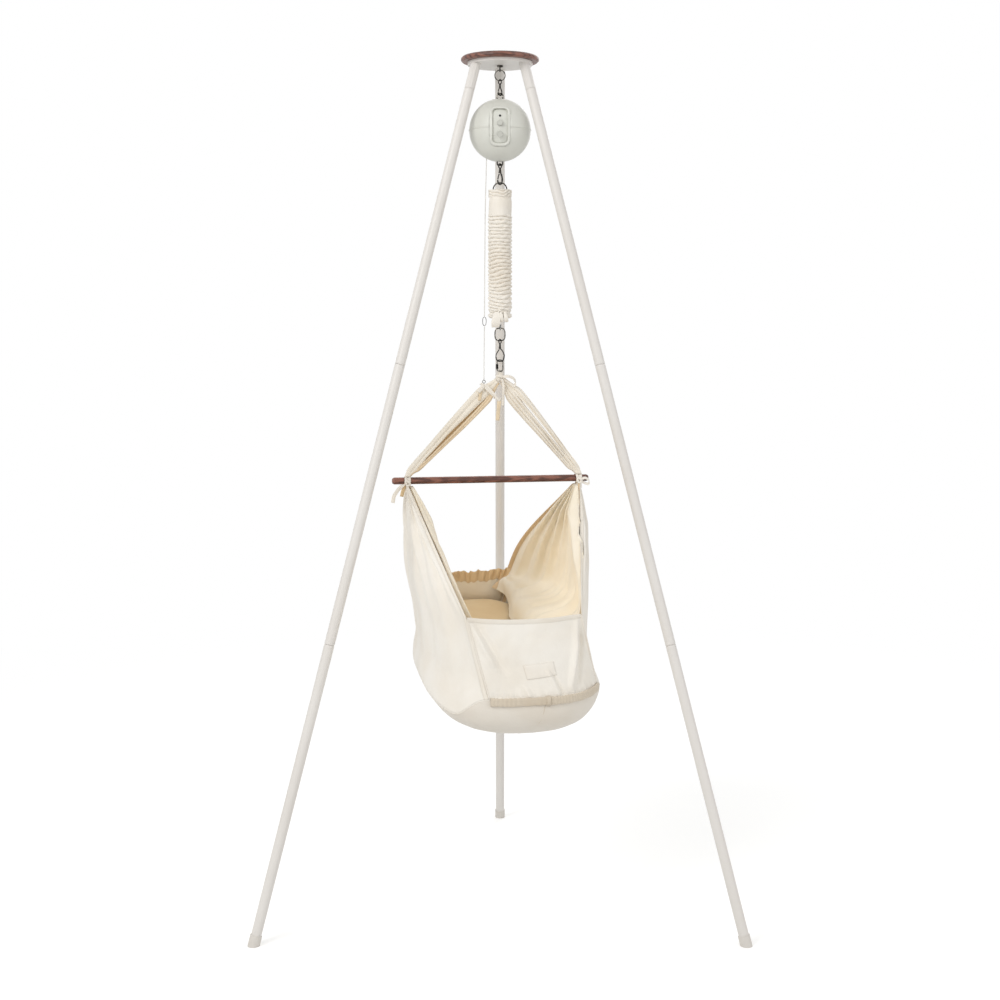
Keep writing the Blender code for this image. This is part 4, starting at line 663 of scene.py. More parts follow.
def side_grid(side, wide, high):
    """The middle of a side of the bucket, from its bundle under the bar to the bed's long side."""
    ends = {"left": (NEAR_ANGLES[0], FAR_ANGLES[1]), "right": (NEAR_ANGLES[1] - 360, FAR_ANGLES[0])}
    angles = even_angles(*ends[side], wide)
    top_z = BAR_Z - BAR_DIA / 2 - TIE_CLOTH - 2 * GAP
    columns = []
    for k in range(wide):
        share = 2 * k / (wide - 1) - 1
        top = np.array((TIE_U[side], 0.015 * share, top_z))
        foot = panel_foot(angles[k])
        rim = rim_point(side, share * PANEL_REACH)
        full = 1 - abs(share) ** 4
        upper, lower = high // 2, high - 1 - high // 2
        straight = np.vstack([[top + (rim - top) * t / upper for t in range(upper)],
                              [rim + (foot - rim) * t / lower for t in range(lower + 1)]])
        bent = curve_through([top, rim, foot], 40)
        spots = np.concatenate([np.linspace(0, 40, upper, endpoint=False), np.linspace(40, 80, lower + 1)])
        curved = np.stack([np.interp(spots, np.arange(81), bent[:, i]) for i in range(3)], 1)
        column = straight + (curved - straight) * full
        if side == "left":
            down = np.linspace(0, 1, high)
            column[:, 0] += 0.018 * np.exp(-((down - 0.11) / 0.09) ** 2) * smooth(share, 0.2, 0.9)
        columns.append(column)
    return np.array(columns).transpose(1, 0, 2)


def gathers(high, wide, waves, seed):
    """Fold heights from -1 to 1: many at the top, fewer and fainter further down."""
    pick = np.random.default_rng(seed)
    s, t = shares_of(high, wide)
    total = np.zeros((high, wide))
    for count, size, reach in waves:
        phase, lean, drift = pick.uniform(0, math.tau), pick.uniform(-0.6, 0.6), pick.uniform(-0.5, 0.5)
        bend = np.sin(s * math.tau * (1 + drift) + phase) * 0.18
        wave = np.cos(math.tau * (count * (s + bend / count * 2) + lean * t) + phase)
        wave = np.sign(wave) * np.abs(wave) ** 0.8
        total += size * wave * np.exp(-(t / reach) ** 2)
    return total


def held_inside(grid, outer, out, away):
    """Draws an inner cloth's points in until each is at least this far inside the outer cloth's middle."""
    high, wide = outer.shape[:2]
    corners = [tuple(p) for p in outer.reshape(-1, 3)]
    quads = [(i * wide + j, i * wide + j + 1, (i + 1) * wide + j + 1, (i + 1) * wide + j)
             for i in range(high - 1) for j in range(wide - 1)]
    tree = BVHTree.FromPolygons(corners, quads)
    grid = grid.copy()
    for _turn in range(3):
        push = np.zeros(grid.shape)
        for i in range(4, grid.shape[0]):
            for j in range(grid.shape[1]):
                spot, normal, *_ = tree.find_nearest(Vector(grid[i, j]), 0.04)
                if spot is None:
                    continue
                if normal.x * out < 0:
                    normal = -normal
                depth = (spot - Vector(grid[i, j])).dot(normal)
                if depth < away:
                    push[i, j] = -normal * (away - depth) * min(1.0, (i - 3) / 4)
        for _again in range(2):
            level = push.copy()
            level[1:-1, 1:-1] = (push[1:-1, 1:-1] * 2 + push[:-2, 1:-1] + push[2:, 1:-1]
                                 + push[1:-1, :-2] + push[1:-1, 2:]) / 6
            bigger = np.linalg.norm(level, axis=2) > np.linalg.norm(push, axis=2)
            push[bigger] = level[bigger]
        grid += push
    return grid


def side_panel(side):
    """One long side of the bucket, gathered under its tie and hemmed along both slanting edges."""
    high, wide = 96, 181
    seed, slack = (5, 0.013) if side == "left" else (9, 0.010)
    grid = facing(side_grid(side, wide, high), (OUT[side], 0, 0))
    across = runs_of(grid, 1)[:, -1:]
    s, t = shares_of(high, wide)
    calm = smooth(np.minimum(s, 1 - s), 0, 0.05)
    settle = 1 - smooth(t, 0.72, 0.97)
    waves = [(11, 1.0, 0.30), (7, 0.9, 0.45), (4, 0.9, 0.62), (17, 0.5, 0.16)]
    lift = gathers(high, wide, waves, seed) * np.minimum(0.0060, 0.024 * across) * calm * settle
    lift += rippled(grid, 0.0032, 9.0, seed) * calm * settle
    lift += rippled(grid * np.array((1, 1, 0.35)), 0.0024, 24.0, 6) * calm * settle
    lift -= slack * smooth(t, 0.35, 0.65) * (1 - smooth(t, 0.80, 1.0)) * calm
    grid = grid + normals_of(grid) * lift[..., None]
    made = sheet(f"{side}_side_cloth", grid, CLOTH, (OUTER, INNER), hems="lr")
    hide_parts(f"{side}_side_panel")
    return grid


def lining_column(side, share):
    """A line of one lining's points, from the bundle to the mattress, at a share from the near end."""
    out, right = OUT[side], side == "right"
    back, corner = max(0.0, -share), float(smooth(share, 0.90, 1.0))
    top = np.array((TIE_U[side] - out * 0.006, 0.012 * share - 0.003, BAR_Z - 0.014))
    inset = 0.009 if right else 0.020 + 0.014 * back
    rim = rim_point(side, share * 0.985) - np.array((out * inset, 0, 0))
    v = 0.285 * share
    reach = np.interp(v, (-0.285, -0.1, 0.11, 0.20, 0.285), (0.085, 0.062, 0.064, 0.082, 0.088))
    foot = np.array((out * reach, v, BED_Z + BED_SLOPE * v + 0.1165))
    foot = foot + (np.array((out * 0.060, 0.300, 0.668)) - foot) * corner
    nearer = np.array((-out * 0.014 * back, 0.030 * back, 0))
    body = rim * 0.32 + foot * 0.68 + np.array((-out * 0.012, 0, 0.016)) * (1 - corner) + nearer
    column = curve_through([top, rim, body, foot], 40)
    down = np.linspace(0, 1, len(column))
    dip = out * (0.030 if right else 0.004)
    column[:, 0] -= dip * np.exp(-((down - 0.18) / 0.14) ** 2) * smooth(share, 0.1, 1.0)
    return column


def lining(side, outer):
    """The loose inner cloth of one long side. It hangs from the bundle and lies over the mattress's edge."""
    high, wide = 100, 181
    out = OUT[side]
    first, seed = (-0.88, 31) if side == "left" else (-0.94, 17)
    columns = [lining_column(side, first + (1 - first) * k / (wide - 1)) for k in range(wide)]
    fine = np.array(columns).transpose(1, 0, 2)
    spots = np.linspace(0, 120, high)
    low = spots.astype(int).clip(0, 119)
    part = (spots - low)[:, None, None]
    grid = fine[low] * (1 - part) + fine[low + 1] * part
    across = runs_of(grid, 1)[:, -1:]
    s, t = shares_of(high, wide)
    calm = smooth(np.minimum(s, 1 - s), 0, 0.018)
    settle = 1 - smooth(t, 0.60, 0.92)
    waves = [(9, 1.5, 0.60), (6, 0.9, 0.66), (15, 0.9, 0.34), (22, 0.5, 0.18)]
    lift = gathers(high, wide, waves, seed) * np.minimum(0.0085, 0.045 * across) * settle
    lift += rippled(grid, 0.004, 10.0, 14) * settle + rippled(grid, 0.0012, 38.0, 15)
    n = normals_of(grid)
    n *= -out * np.sign(n[..., 0].mean())
    grid = grid + n * (np.maximum(lift, -0.006) * calm)[..., None]
    grid = held_inside(grid, outer, out, LINING_INSIDE)
    far_first = facing(grid, (-out, 0, 0))
    hem = "r" if np.allclose(far_first[0, -1], grid[0, -1]) else "l"
    made = sheet(f"{side}_lining", far_first, LINING, (INNER,), hems=hem)


def crease(u, v, path, width, height):
    """A ridge along a line of (u, v) points, fading to its ends."""
    path = [np.asarray(p, float) for p in path]
    total = np.zeros_like(u)
    lengths = [np.linalg.norm(b - a) for a, b in zip(path, path[1:])]
    whole, done = sum(lengths), 0.0
    for (a, b), length in zip(zip(path, path[1:]), lengths):
        d = b - a
        t = np.clip(((u - a[0]) * d[0] + (v - a[1]) * d[1]) / length ** 2, 0, 1)
        away = np.hypot(u - a[0] - t * d[0], v - a[1] - t * d[1])
        run = (done + t * length) / whole
        fade = np.sin(np.clip(run, 0.02, 0.98) * math.pi) ** 0.6
        total = np.maximum(total, np.exp(-(away / width) ** 2) * fade)
        done += length
    return total * height


def end_grid(angles, share, high):
    """The middle of one end of the bucket, from its sagging rim to the pocket."""
    left, right = (rim_point(side, share * PANEL_REACH) for side in ("left", "right"))
    columns = []
    for k, angle in enumerate(angles):
        part = k / (len(angles) - 1)
        rim = left + (right - left) * (0.004 + part * 0.992)
        rim[2] -= RIM_SAG * 4 * part * (1 - part)
        foot = panel_foot(angle)
        columns.append([rim + (foot - rim) * step / (high - 1) for step in range(high)])
    return np.array(columns).transpose(1, 0, 2)


# The near end's drag folds, as (line, width, height) across and down it
NEAR_FOLDS = (
    ([(0.97, 0.02), (0.88, 0.36), (0.66, 0.95)], 0.026, 0.0100),
    ([(0.99, 0.08), (0.93, 0.42), (0.73, 0.97)], 0.026, -0.0080),
    ([(0.02, 0.08), (0.06, 0.30), (0.12, 0.62)], 0.030, 0.0085),
    ([(0.06, 0.04), (0.13, 0.32), (0.20, 0.72)], 0.036, -0.0065),
    ([(0.53, 0.62), (0.56, 0.99)], 0.018, 0.0045),
    ([(0.57, 0.66), (0.60, 0.99)], 0.016, -0.0040),
    ([(0.30, 0.80), (0.33, 0.99)], 0.020, 0.0030),
)


def near_panel():
    """The near end of the bucket: a hemmed top edge, drag folds down to the trim and pleats above it."""
    high, wide = 84, 121
    grid = end_grid(even_angles(NEAR_ANGLES[0] + END_ANGLE, NEAR_ANGLES[1] - END_ANGLE, wide), -1, high)
    s, t = shares_of(high, wide)
    calm = smooth(np.minimum(s, 1 - s), 0, 0.06)
    lift = sum(crease(s, t, *fold) for fold in NEAR_FOLDS)
    lift += rippled(grid, 0.0034, 12.0, 2) + rippled(grid, 0.0012, 45.0, 4)
    pleats = np.cos(math.tau * 15 * s + 2.0 * np.sin(7 * s)) * 0.0013 * smooth(t, 0.84, 0.99)
    roll = 0.0018 * np.exp(-(t / 0.03) ** 2)
    n = normals_of(grid)
    n *= -np.sign(n[..., 1].mean())
    grid = grid + n * ((lift + pleats) * calm * smooth(1 - t, 0, 0.04) + roll)[..., None]
    made = sheet("near_end_cloth", facing(grid, (0, -1, 0)), CLOTH, (OUTER, INNER), hems="t")
    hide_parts("near_end_panel")
    patch(grid, n)
    return grid


def between_four(corners, a, b):
    """A point between four corners, a share down and b across."""
    (one, two), (three, four) = corners
    return (1 - a) * ((1 - b) * one + b * two) + a * ((1 - b) * three + b * four)


def patch(grid, n):
    """The bare sewn tab on the near end: a separate piece of tape, sewn along its edge."""
    high, wide = grid.shape[:2]
    rows, cols = 15, 31
    corners = np.array([[(0.350, 0.575), (0.610, 0.545)], [(0.345, 0.755), (0.595, 0.715)]])
    out = np.zeros((rows, cols, 3))
    for i in range(rows):
        for j in range(cols):
            a, b = i / (rows - 1), j / (cols - 1)
            s, t = between_four(corners, a, b)
            x, y = s * (wide - 1), t * (high - 1)
            j0, i0 = int(x), int(y)
            at = between_four(grid[i0:i0 + 2, j0:j0 + 2], y - i0, x - j0)
            edge = min(a, 1 - a, b * 2, (1 - b) * 2)
            out[i, j] = at + n[i0, j0] * (0.0013 + 0.0006 * min(1.0, edge * 6))
    made = sheet("bare_patch", facing(out, (0, -1, 0)), THIN_CLOTH, (PLAIN,))


def far_panel():
    """The far end, whose gathered hem stands up in a frill."""
    high, wide = 48, 141
    grid = end_grid(even_angles(FAR_ANGLES[1] - END_ANGLE, FAR_ANGLES[0] + END_ANGLE, wide), 1, high)
    s, t = shares_of(high, wide)
    n = normals_of(grid)
    wobble = np.sin(math.tau * 13 * s + 1.4 * np.sin(math.tau * 2.3 * s))
    wobble += 0.5 * np.sin(math.tau * 23 * s + 1)
    frill = wobble * 0.0036 * np.exp(-(t / 0.16) ** 2)
    bulge = 0.010 * np.exp(-((t - 0.55) / 0.22) ** 2) * (0.7 + 0.3 * np.sin(9 * s + 1))
    soft = rippled(grid, 0.004, 14.0, 11) * smooth(1 - t, 0, 0.1) * smooth(t, 0.0, 0.2)
    calm = smooth(np.minimum(s, 1 - s), 0, 0.04)
    n *= np.sign(n[..., 1].mean())
    grid = grid + n * ((frill + soft - bulge) * calm)[..., None]
    waves = np.cos(math.tau * 13 * s + 0.7) * 0.0016 + np.sin(math.tau * 5.3 * s) * 0.0016
    grid[..., 2] += waves * np.exp(-(t / 0.05) ** 2) * calm
    made = sheet("far_end_cloth", facing(grid, (0, 1, 0)), CLOTH, (OUTER, FAR_INNER), hems="t")
    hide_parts("far_end_panel")


def whole_turn(count):
    """Angles round the whole bed."""
    return even_angles(0, 360, count + 1)[:-1]


def bowl():
    """The pocket under the mattress: a seamed cloth bottom that rounds up to the panels."""
    angles = whole_turn(288)
    shares = np.concatenate([np.linspace(0, 0.06, 5), np.linspace(0.1, 1.0, 22)])
    rings = [[edge_point(a, share * pocket_top(a)) for a in angles] for share in shares]
    middle = np.array((BED_U, 0, BED_Z))
    base = np.array(rings[0])
    inner = [middle + (base - middle) * k / 14 for k in range(1, 14)]
    grid = np.array(inner + rings)
    outer_n = normals_of(grid, True)
    if outer_n[5, 0, 2] > 0:
        outer_n = -outer_n
    _, t = shares_of(*grid.shape[:2])
    lift = rippled(grid, 0.0022, 11.0, 12) + rippled(grid, 0.0009, 34.0, 13)
    lift *= smooth(1 - t, 0.0, 0.08) * smooth(t, 0.0, 0.1)
    grid = grid + outer_n * np.minimum(lift, 0.0012)[..., None]
    below = grid if normals_of(grid, True)[5, 0, 2] < 0 else grid[:, ::-1]
    # The pocket's underside is a darker copy of the cloth and its inside the tan copy: both painted shade.
    made = sheet("pocket_cloth", below, CLOTH, (UNDERSIDE, WARM), around=True)
    turned_outward(made.data, closed=True)
    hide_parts("bed_pocket")
    return grid


def mattress():
    angles = whole_turn(96)
    fit = CLOTH_REST + 4 * GAP + 0.004
    rings = [[edge_point(a, share * POCKET_HIGH, fit, 0.010) for a in angles]
             for share in (0.02, 0.18, 0.42, 0.7, 1.0)]
    for inset, height in ((0.013, 0.075), (0.018, 0.088), (0.030, 0.098), (0.048, 0.102)):
        rings.append([bed_point(a, inset + fit, height) for a in angles])
    middle, top = np.array((BED_U, 0, BED_Z)), np.array(rings[-1])
    rings += [top + (middle + (0, 0, 0.107) - top) * share for share in (0.25, 0.5, 0.8)]
    faces = tube_faces(len(rings), len(angles))
    made = object_from("mattress_pad", np.array(rings), faces, [PAD], None, place=HAMMOCK)
    swell(made, voxel=0.009, cap=0.006)
    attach(made, "hammock")
    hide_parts("mattress")


SWELL_FRAMES = 20


def points_of(made):
    """An object's points as an array."""
    return np.array([v.co for v in made.data.vertices])


def swell(made, voxel, cap):
    """Remeshes a pad and blows it up a little under cloth simulation, each point moving cap at most."""
    remesh = made.modifiers.new("remesh", "REMESH")
    remesh.mode, remesh.voxel_size = "VOXEL", voxel
    apply_modifiers(made)
    start = points_of(made)
    cloth = made.modifiers.new("cloth", "CLOTH")
    cloth.settings.use_pressure = True
    cloth.settings.uniform_pressure_force = 4
    cloth.settings.effector_weights.gravity = 0
    cloth.settings.quality = 4
    cloth.point_cache.frame_start, cloth.point_cache.frame_end = 1, SWELL_FRAMES
    for step in range(1, SWELL_FRAMES + 1):
        bpy.context.scene.frame_set(step)
    apply_modifiers(made)
    move = points_of(made) - start
    far = np.linalg.norm(move, axis=1, keepdims=True)
    end = start + move * np.minimum(1, cap / np.maximum(far, 1e-9))
    made.data.vertices.foreach_set("co", end.astype(np.float32).ravel())
    finer = made.modifiers.new("finer", "SUBSURF")
    finer.levels = finer.render_levels = 1
    apply_modifiers(made)
    made.data.shade_smooth()
    bpy.context.scene.frame_set(1)


def apply_modifiers(made):
    """Gives the object the mesh that its modifiers make, and drops them."""
    graph = bpy.context.evaluated_depsgraph_get()
    mesh = bpy.data.meshes.new_from_object(made.evaluated_get(graph))
    made.modifiers.clear()
    made.data = mesh


def trim():
    """The puckered double band along the near end's foot, with its join."""
    count, half_width, half_deep = 181, 0.0086, 0.0024
    angles = np.linspace(NEAR_ANGLES[0] + 1, NEAR_ANGLES[1] - 1, count)
    middle = 0.0045 / 2 + 2 * GAP + CLOTH_REST / 2
    path = np.array([bed_point(a, -middle, pocket_top(a) - 0.002) for a in angles])
    k = np.linspace(0, 1, count)
    pucker = np.sin(math.tau * 34 * k + 1.2 * np.sin(math.tau * 5 * k))
    slow = np.sin(math.tau * 6.3 * k + 1)
    scales = np.stack([1 + 0.05 * pucker + 0.03 * slow, 1 + 0.20 * pucker + 0.12 * slow], 1)
    section = []
    for c, s in circle(1, 28):
        a = half_width * bent(c, 0.8)
        ridge = 1 + 0.18 * math.cos(4 * math.pi * a / half_width)
        section.append((a, half_deep * bent(s, 0.6) * ridge))
    made = swept("puckered_trim", path, section, BINDING, "hammock", across=(0, 0, 1),
                 scales=scales, place=HAMMOCK)
    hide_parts("pocket_trim")
    across_trim = np.array([(0, -0.0006, 0.0110), (0, -0.0042, 0.004), (0, -0.0042, -0.004),
                            (0, -0.0004, -0.0112)])
    swept("trim_join", path[int(count * 0.31)] + across_trim, tape(0.0085, 0.0012), BINDING, "hammock",
          across=(1, 0, 0), place=HAMMOCK)


STITCH = 0.004


def seam(name, line, radius, finish):
    """A sewn ridge along a line: a small roll that swells between stitches."""
    line = np.asarray(line, float)
    run = run_along(line)
    even = np.linspace(0, run[-1], max(8, int(run[-1] / 0.0012)))
    path = np.stack([np.interp(even, run, line[:, i]) for i in range(3)], 1)
    scales = 1 + 0.22 * np.abs(np.sin(math.pi * even / STITCH))
    swept(name, path, circle(radius, 8), finish, "hammock", scales=scales, place=HAMMOCK)


def seams(near, pocket):
    """The visible seams: beside the near end, round the pocket and under it."""
    lift = np.array((0, -0.0012, 0))
    seam("near_seam_left", near[2:, 0] + lift, 0.0013, PLAIN)
    seam("near_seam_right", near[2:, -1] + lift, 0.0016, PLAIN)
    seam("pocket_seam", np.vstack([pocket[-1], pocket[-1, :1]]) + (0, 0, 0.0004), 0.0011, PLAIN)
    outside = [edge_point(angle, share * pocket_top(angle))
               for angle, share in ((273, 0.9), (272.5, 0.7), (271.5, 0.45), (270, 0.22), (268, 0.05))]
    under = [np.array((u, v, BED_Z + BED_SLOPE * v))
             for u, v in ((0.004, -0.22), (-0.004, -0.1), (0.002, 0.1), (0.012, 0.24))]
    line = curve_through(outside + under, 8)
    down = np.array([(0, 0, -0.0008)] * len(line))
    down[: len(line) // 3] = (0.0, -0.0008, -0.0006)
    seam("underside_seam", line + down, 0.0006, BINDING)


def strap_axes(side):
    """Where a strap starts and ends, its direction and the direction across it."""
    knot = np.array((KNOT_U, 0, KNOT_Z))
    end = np.array((TIE_U[side], 0, BAR_Z + BAR_DIA / 2 + TIE_CLOTH + 3 * GAP))
    way = (end - knot) / np.linalg.norm(end - knot)
    start = knot + way * (KNOT_RADIUS + 2 * GAP)
    return start, end, way, np.array((-way[2], 0, way[0])) * OUT[side]


def strap_band(side, part, low, high, depth, folds, finishes, seed, height):
    """A band of a strap between two shares of its width, which are given at STOPS. Its upper edge is 0.5."""
    start, end, _, square = strap_axes(side)
    wide, long = 73, 110
    t = np.linspace(0, 1, long)
    width = 0.016 + 0.025 * smooth(t, 0, 0.16) - 0.017 * smooth(t, 0.16, 1)
    width *= 1 - 0.42 * smooth(t, 0.93, 1)
    lows, highs, depths = (np.interp(t, STOPS, keys) for keys in (low, high, depth))
    rows = []
    for i in range(long):
        blend = float(smooth(t[i], 0.85, 1))
        across = square * (1 - blend) + np.array((OUT[side], 0, 0)) * blend
        across /= np.linalg.norm(across)
        middle = start + (end - start) * t[i] - np.array((0, 0.003, 0.0015)) * smooth(t[i], 0.95, 1)
        rows.append([middle + across * width[i] * w for w in np.linspace(lows[i], highs[i], wide)])
    grid = facing(np.array(rows), (0, -1, 0))
    n = normals_of(grid)
    s, tt = shares_of(long, wide)
    open_ = np.sin(math.pi * np.clip(tt, 0.02, 0.98)) ** 0.35
    phase = folds * (s + 0.05 * np.sin(4 * tt + seed) + 0.03 * np.sin(9 * tt)) + 0.13 * seed
    ridge = np.sqrt(np.sin(math.pi * phase) ** 2 + 0.006) * 1.35
    belly = (1 - (2 * s - 1) ** 2) * 0.0030
    lift = ridge * height * open_ + belly + depths[:, None] + rippled(grid, 0.0014, 26.0, seed)
    grid = grid + n * lift[..., None]
    made = sheet(f"{side}_strap_{part}", grid, THIN_CLOTH, finishes)
    flat = round(float(runs_of(grid, 1)[:, -1].mean()), 3), round(float(np.linalg.norm(end - start)), 3)
    if part == "outer":
        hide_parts(f"{side}_strap")


# Each band of a strap: side, part, lower edge, upper edge and depth at STOPS, folds, finishes, seed and
# the height of its folds
STOPS = (0, 0.14, 0.3, 0.55, 0.8, 1)
# Front faces in the plain band cloth, back faces in its tan copy as painted shade
SOFT = (BAND, BAND_INNER)
LOWEST, HIGHEST = (-0.5,) * 6, (0.5,) * 6
FRONT_DEPTHS = (0.001, 0.003, 0.003, 0.003, 0.002, 0.001)
BACK_DEPTHS = (-0.004, -0.008, -0.010, -0.010, -0.006, -0.002)
# The back bands lie behind the slit between the front bands; their tan colour stands for the shadow in that
# slit: painted shade.
BANDS = (
    ("left", "outer", (-0.3, -0.18, -0.12, -0.04, -0.10, -0.4), HIGHEST, FRONT_DEPTHS, 1.6, SOFT, 1, 0.0028),
    ("left", "inner", LOWEST, (-0.1, -0.2, -0.24, -0.24, -0.20, 0.1), (0.0, 0.002, 0.002, 0.002, 0.001, 0.0),
     1.6, (BAND_INNER,), 2, 0.0026),
    ("left", "back", (-0.42,) * 6, (0.42,) * 6, BACK_DEPTHS, 1.0, (TAN,), 3, 0.001),
    ("right", "outer", (0.0, 0.08, 0.15, 0.16, 0.12, 0.0), HIGHEST, FRONT_DEPTHS, 1.7, SOFT, 4, 0.0040),
    ("right", "middle", (-0.3, -0.2, -0.12, -0.10, -0.12, -0.3), (0.2, 0.13, 0.11, 0.11, 0.13, 0.3),
     (0.0, 0.001, 0.001, 0.001, 0.001, 0.0), 1.4, SOFT, 5, 0.0042),
    ("right", "inner", LOWEST, (-0.1, -0.04, -0.06, -0.09, -0.12, 0.0),
     (0.0, 0.003, 0.003, 0.003, 0.001, 0.0), 2.3, SOFT, 6, 0.0042),
    ("right", "back", (-0.42,) * 6, (0.35, 0.30, 0.08, 0.06, 0.12, 0.35), BACK_DEPTHS, 1.0, (TAN,), 7,
     0.001),
)


def straps():
    """Each strap is a long cloth folded in bands, which part in the middle and meet at its two ends."""
    for band in BANDS:
        strap_band(*band)


def ribbons(rows):
    """Flat ribbons: name, origin, keys from it, width and thickness, finish, direction across and twists."""
    for name, origin, keys, size, finish, across, *twist in rows:
        path = curve_through([np.array(origin) + key for key in keys], 8)
        share = np.linspace(0, 1, len(path))
        turns = np.interp(share, np.linspace(0, 1, len(twist)), twist) if twist else None
        swept(name, path, tape(*size), finish, "hammock", across=across, twist=turns,
              place=HAMMOCK)


def apex():
    """The webbing loop in the link, the gathered knot below it, its bow and its tails."""
    high, low = 1.2021 + 0.0013 + GAP + 0.00075, KNOT_Z
    loop = [(KNOT_U, 0.00375 * bent(c, 0.9), (high + low) / 2 + (high - low) / 2 * bent(s, 0.9))
            for c, s in circle(1, 40)]
    swept("apex_loop", loop, tape(0.0080, 0.0015), PLAIN, "hammock", across=(1, 0, 0), cyclic=True,
          place=HAMMOCK)
    k = np.array((KNOT_U, 0, KNOT_Z))
    rings, count = 22, 48
    points = []
    for z in 1 - 2 * np.arange(rings) / (rings - 1):
        outline = KNOT_RADIUS * (0.30 + 0.78 * math.sqrt(max(0.0, 1 - z * z)))
        for turn in math.tau * np.arange(count) / count:
            r = outline * (1 + 0.10 * math.cos(9 * turn + 2.2 * z) + 0.05 * math.cos(17 * turn - 3 * z))
            points.append(k + (r * math.cos(turn), r * math.sin(turn) * 0.95, KNOT_RADIUS * 0.98 * z))
    knot = object_from("apex_knot", points, tube_faces(rings, count), [PLAIN], "hammock", place=HAMMOCK)
    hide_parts("hanging_loop")
    start, _, way, square = strap_axes("left")
    at = start + way * 0.030
    low = at + square * 0.018
    front = -0.0105
    ribbons((
        ("apex_wrap", k, [(-0.0095, -0.002, 0.004), (-0.005, front, 0.0045), (0.004, front, 0.003),
                          (0.0095, -0.002, 0.001)], (0.0062, 0.0012), PLAIN, (0, 0, 1)),
        ("apex_bow", k, [(0.005, front, 0.002), (0.016, front - 0.003, 0.004),
                         (0.028, front - 0.001, -0.001), (0.033, front, -0.010),
                         (0.030, front + 0.002, -0.017), (0.022, front + 0.004, -0.012),
                         (0.008, front + 0.003, -0.002)], (0.0065, RIBBON), PLAIN, (0, 0.35, 1)),
        ("apex_tail", k, [(0.003, front, -0.002), (0.0055, front - 0.002, -0.020),
                          (0.0050, front - 0.001, -0.040), (0.0040, front, -0.061)],
         (0.0052, 0.0010), PLAIN, (1, 0.2, 0), 0.0, 0.5, -0.2, 0.3),
        ("strap_ribbon", at, [square * w + (0, d, 0) for w, d in (
            (-0.022, 0.004), (-0.021, -0.008), (-0.008, -0.0115), (0.008, -0.0115), (0.021, -0.008),
            (0.022, 0.004))], (0.0060, RIBBON), PLAIN, tuple(way)),
        ("strap_tab", low, [(0.002, -0.011, 0.002), (-0.004, -0.013, -0.006), (-0.011, -0.012, -0.015)],
         (0.0085, RIBBON), PLAIN, (0.6, 0, -0.6)),
        ("strap_tail", low, [(-0.004, -0.009, -0.012), (-0.006, -0.009, -0.022), (-0.008, -0.009, -0.034)],
         (0.0068, RIBBON), WARM, (1, 0, 0)),
        ("cross_ribbon", (0, 0, 0), [low + (0.0, -0.010, 0.001), low + (0.010, -0.012, -0.003),
                                     k + (-0.006, -0.013, -0.048), k + (0.001, -0.010, -0.044)],
         (0.0052, RIBBON), PLAIN, (0, 0, 1)),
        ("cross_tail", k, [(-0.004, -0.012, -0.050), (-0.006, -0.012, -0.070), (-0.008, -0.011, -0.094)],
         (0.0085, RIBBON), WARM, (1, 0, 0), 0.2, -0.2, 0.2),
    ))


def bar_ribbons():
    """The ribbons wound round the bar over the straps and the panels, with their knots, bows and tails."""
    inner = BAR_DIA / 2 + 2 * GAP
    steps = 3 * 30
    for side, out in OUT.items():
        u, z, front = TIE_U[side], BAR_Z - 0.004, -(inner + 0.0035)
        loops = []
        for i in range(steps + 1):
            turn = math.tau * i / 30
            slant = (i / steps - 0.5) * 0.0115
            lay = inner + 0.0010 + 0.0004 * math.sin(turn * 0.5)
            loops.append((u + slant * out, lay * math.cos(turn), BAR_Z + lay * math.sin(turn)))
        made = swept(f"{side}_bar_ribbon", loops, tape(0.0062, 0.0010), PLAIN, "hammock",
                     across=(1, 0, 0), place=HAMMOCK)
        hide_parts(f"{side}_bar_tie")
        knot = [(u - 0.004, front, z + 0.004), (u + 0.002, front - 0.004, z + 0.002),
                (u + 0.004, front - 0.002, z - 0.004), (u - 0.003, front - 0.002, z - 0.005)]
        swept(f"{side}_tie_knot", curve_through(knot, 6, True), circle(0.0026, 10), PLAIN, "hammock",
              cyclic=True, place=HAMMOCK)
    left, right = ((TIE_U[side], 0, BAR_Z) for side in OUT)
    ribbons((
        ("left_tail_pale", left, [(0, -0.011, -0.004), (-0.016, -0.015, -0.012), (-0.030, -0.014, -0.030),
                                  (-0.034, -0.013, -0.047)],
         (0.0085, RIBBON), PLAIN, (1, 0, 0.4), 0.2, -0.3, 0.1, 0.3),
        ("left_tail_tan", left, [(-0.003, -0.010, -0.006), (-0.010, -0.0125, -0.018),
                                 (-0.014, -0.011, -0.034)],
         (0.0080, RIBBON), TAN, (1, 0, 0.2)),
        ("right_bow", right, [(0.002, -0.012, -0.004), (0.012, -0.015, 0.001), (0.021, -0.014, -0.005),
                              (0.020, -0.013, -0.013), (0.010, -0.012, -0.010), (0.002, -0.012, -0.006)],
         (0.0060, RIBBON), PLAIN, (0, 0.5, 1)),
        ("right_tab", right, [(0, -0.012, -0.006), (0.001, -0.014, -0.013), (0.002, -0.013, -0.022)],
         (0.0070, RIBBON), PLAIN, (1, 0, 0)),
    ))


SPRING_TOP, SPRING_BOTTOM = 1.5659, 1.3469
SPRING_WIRE, SPRING_RADIUS, SPRING_LOOP, SPRING_TURNS = 0.0030, 0.0165, 0.007, 11
LINKS = ("spring_top", "spring_bottom")


def end_loop(height, first, turn):
    """One of the spring's end loops, upright and wound a little aside."""
    share = np.linspace(0, 1, 31)
    angles = np.radians(first + turn * share)
    aside = 0.62 * SPRING_WIRE * np.linspace(-1, 1, 31)
    return np.stack([aside, SPRING_LOOP * np.cos(angles), height + SPRING_LOOP * np.sin(angles)], 1)


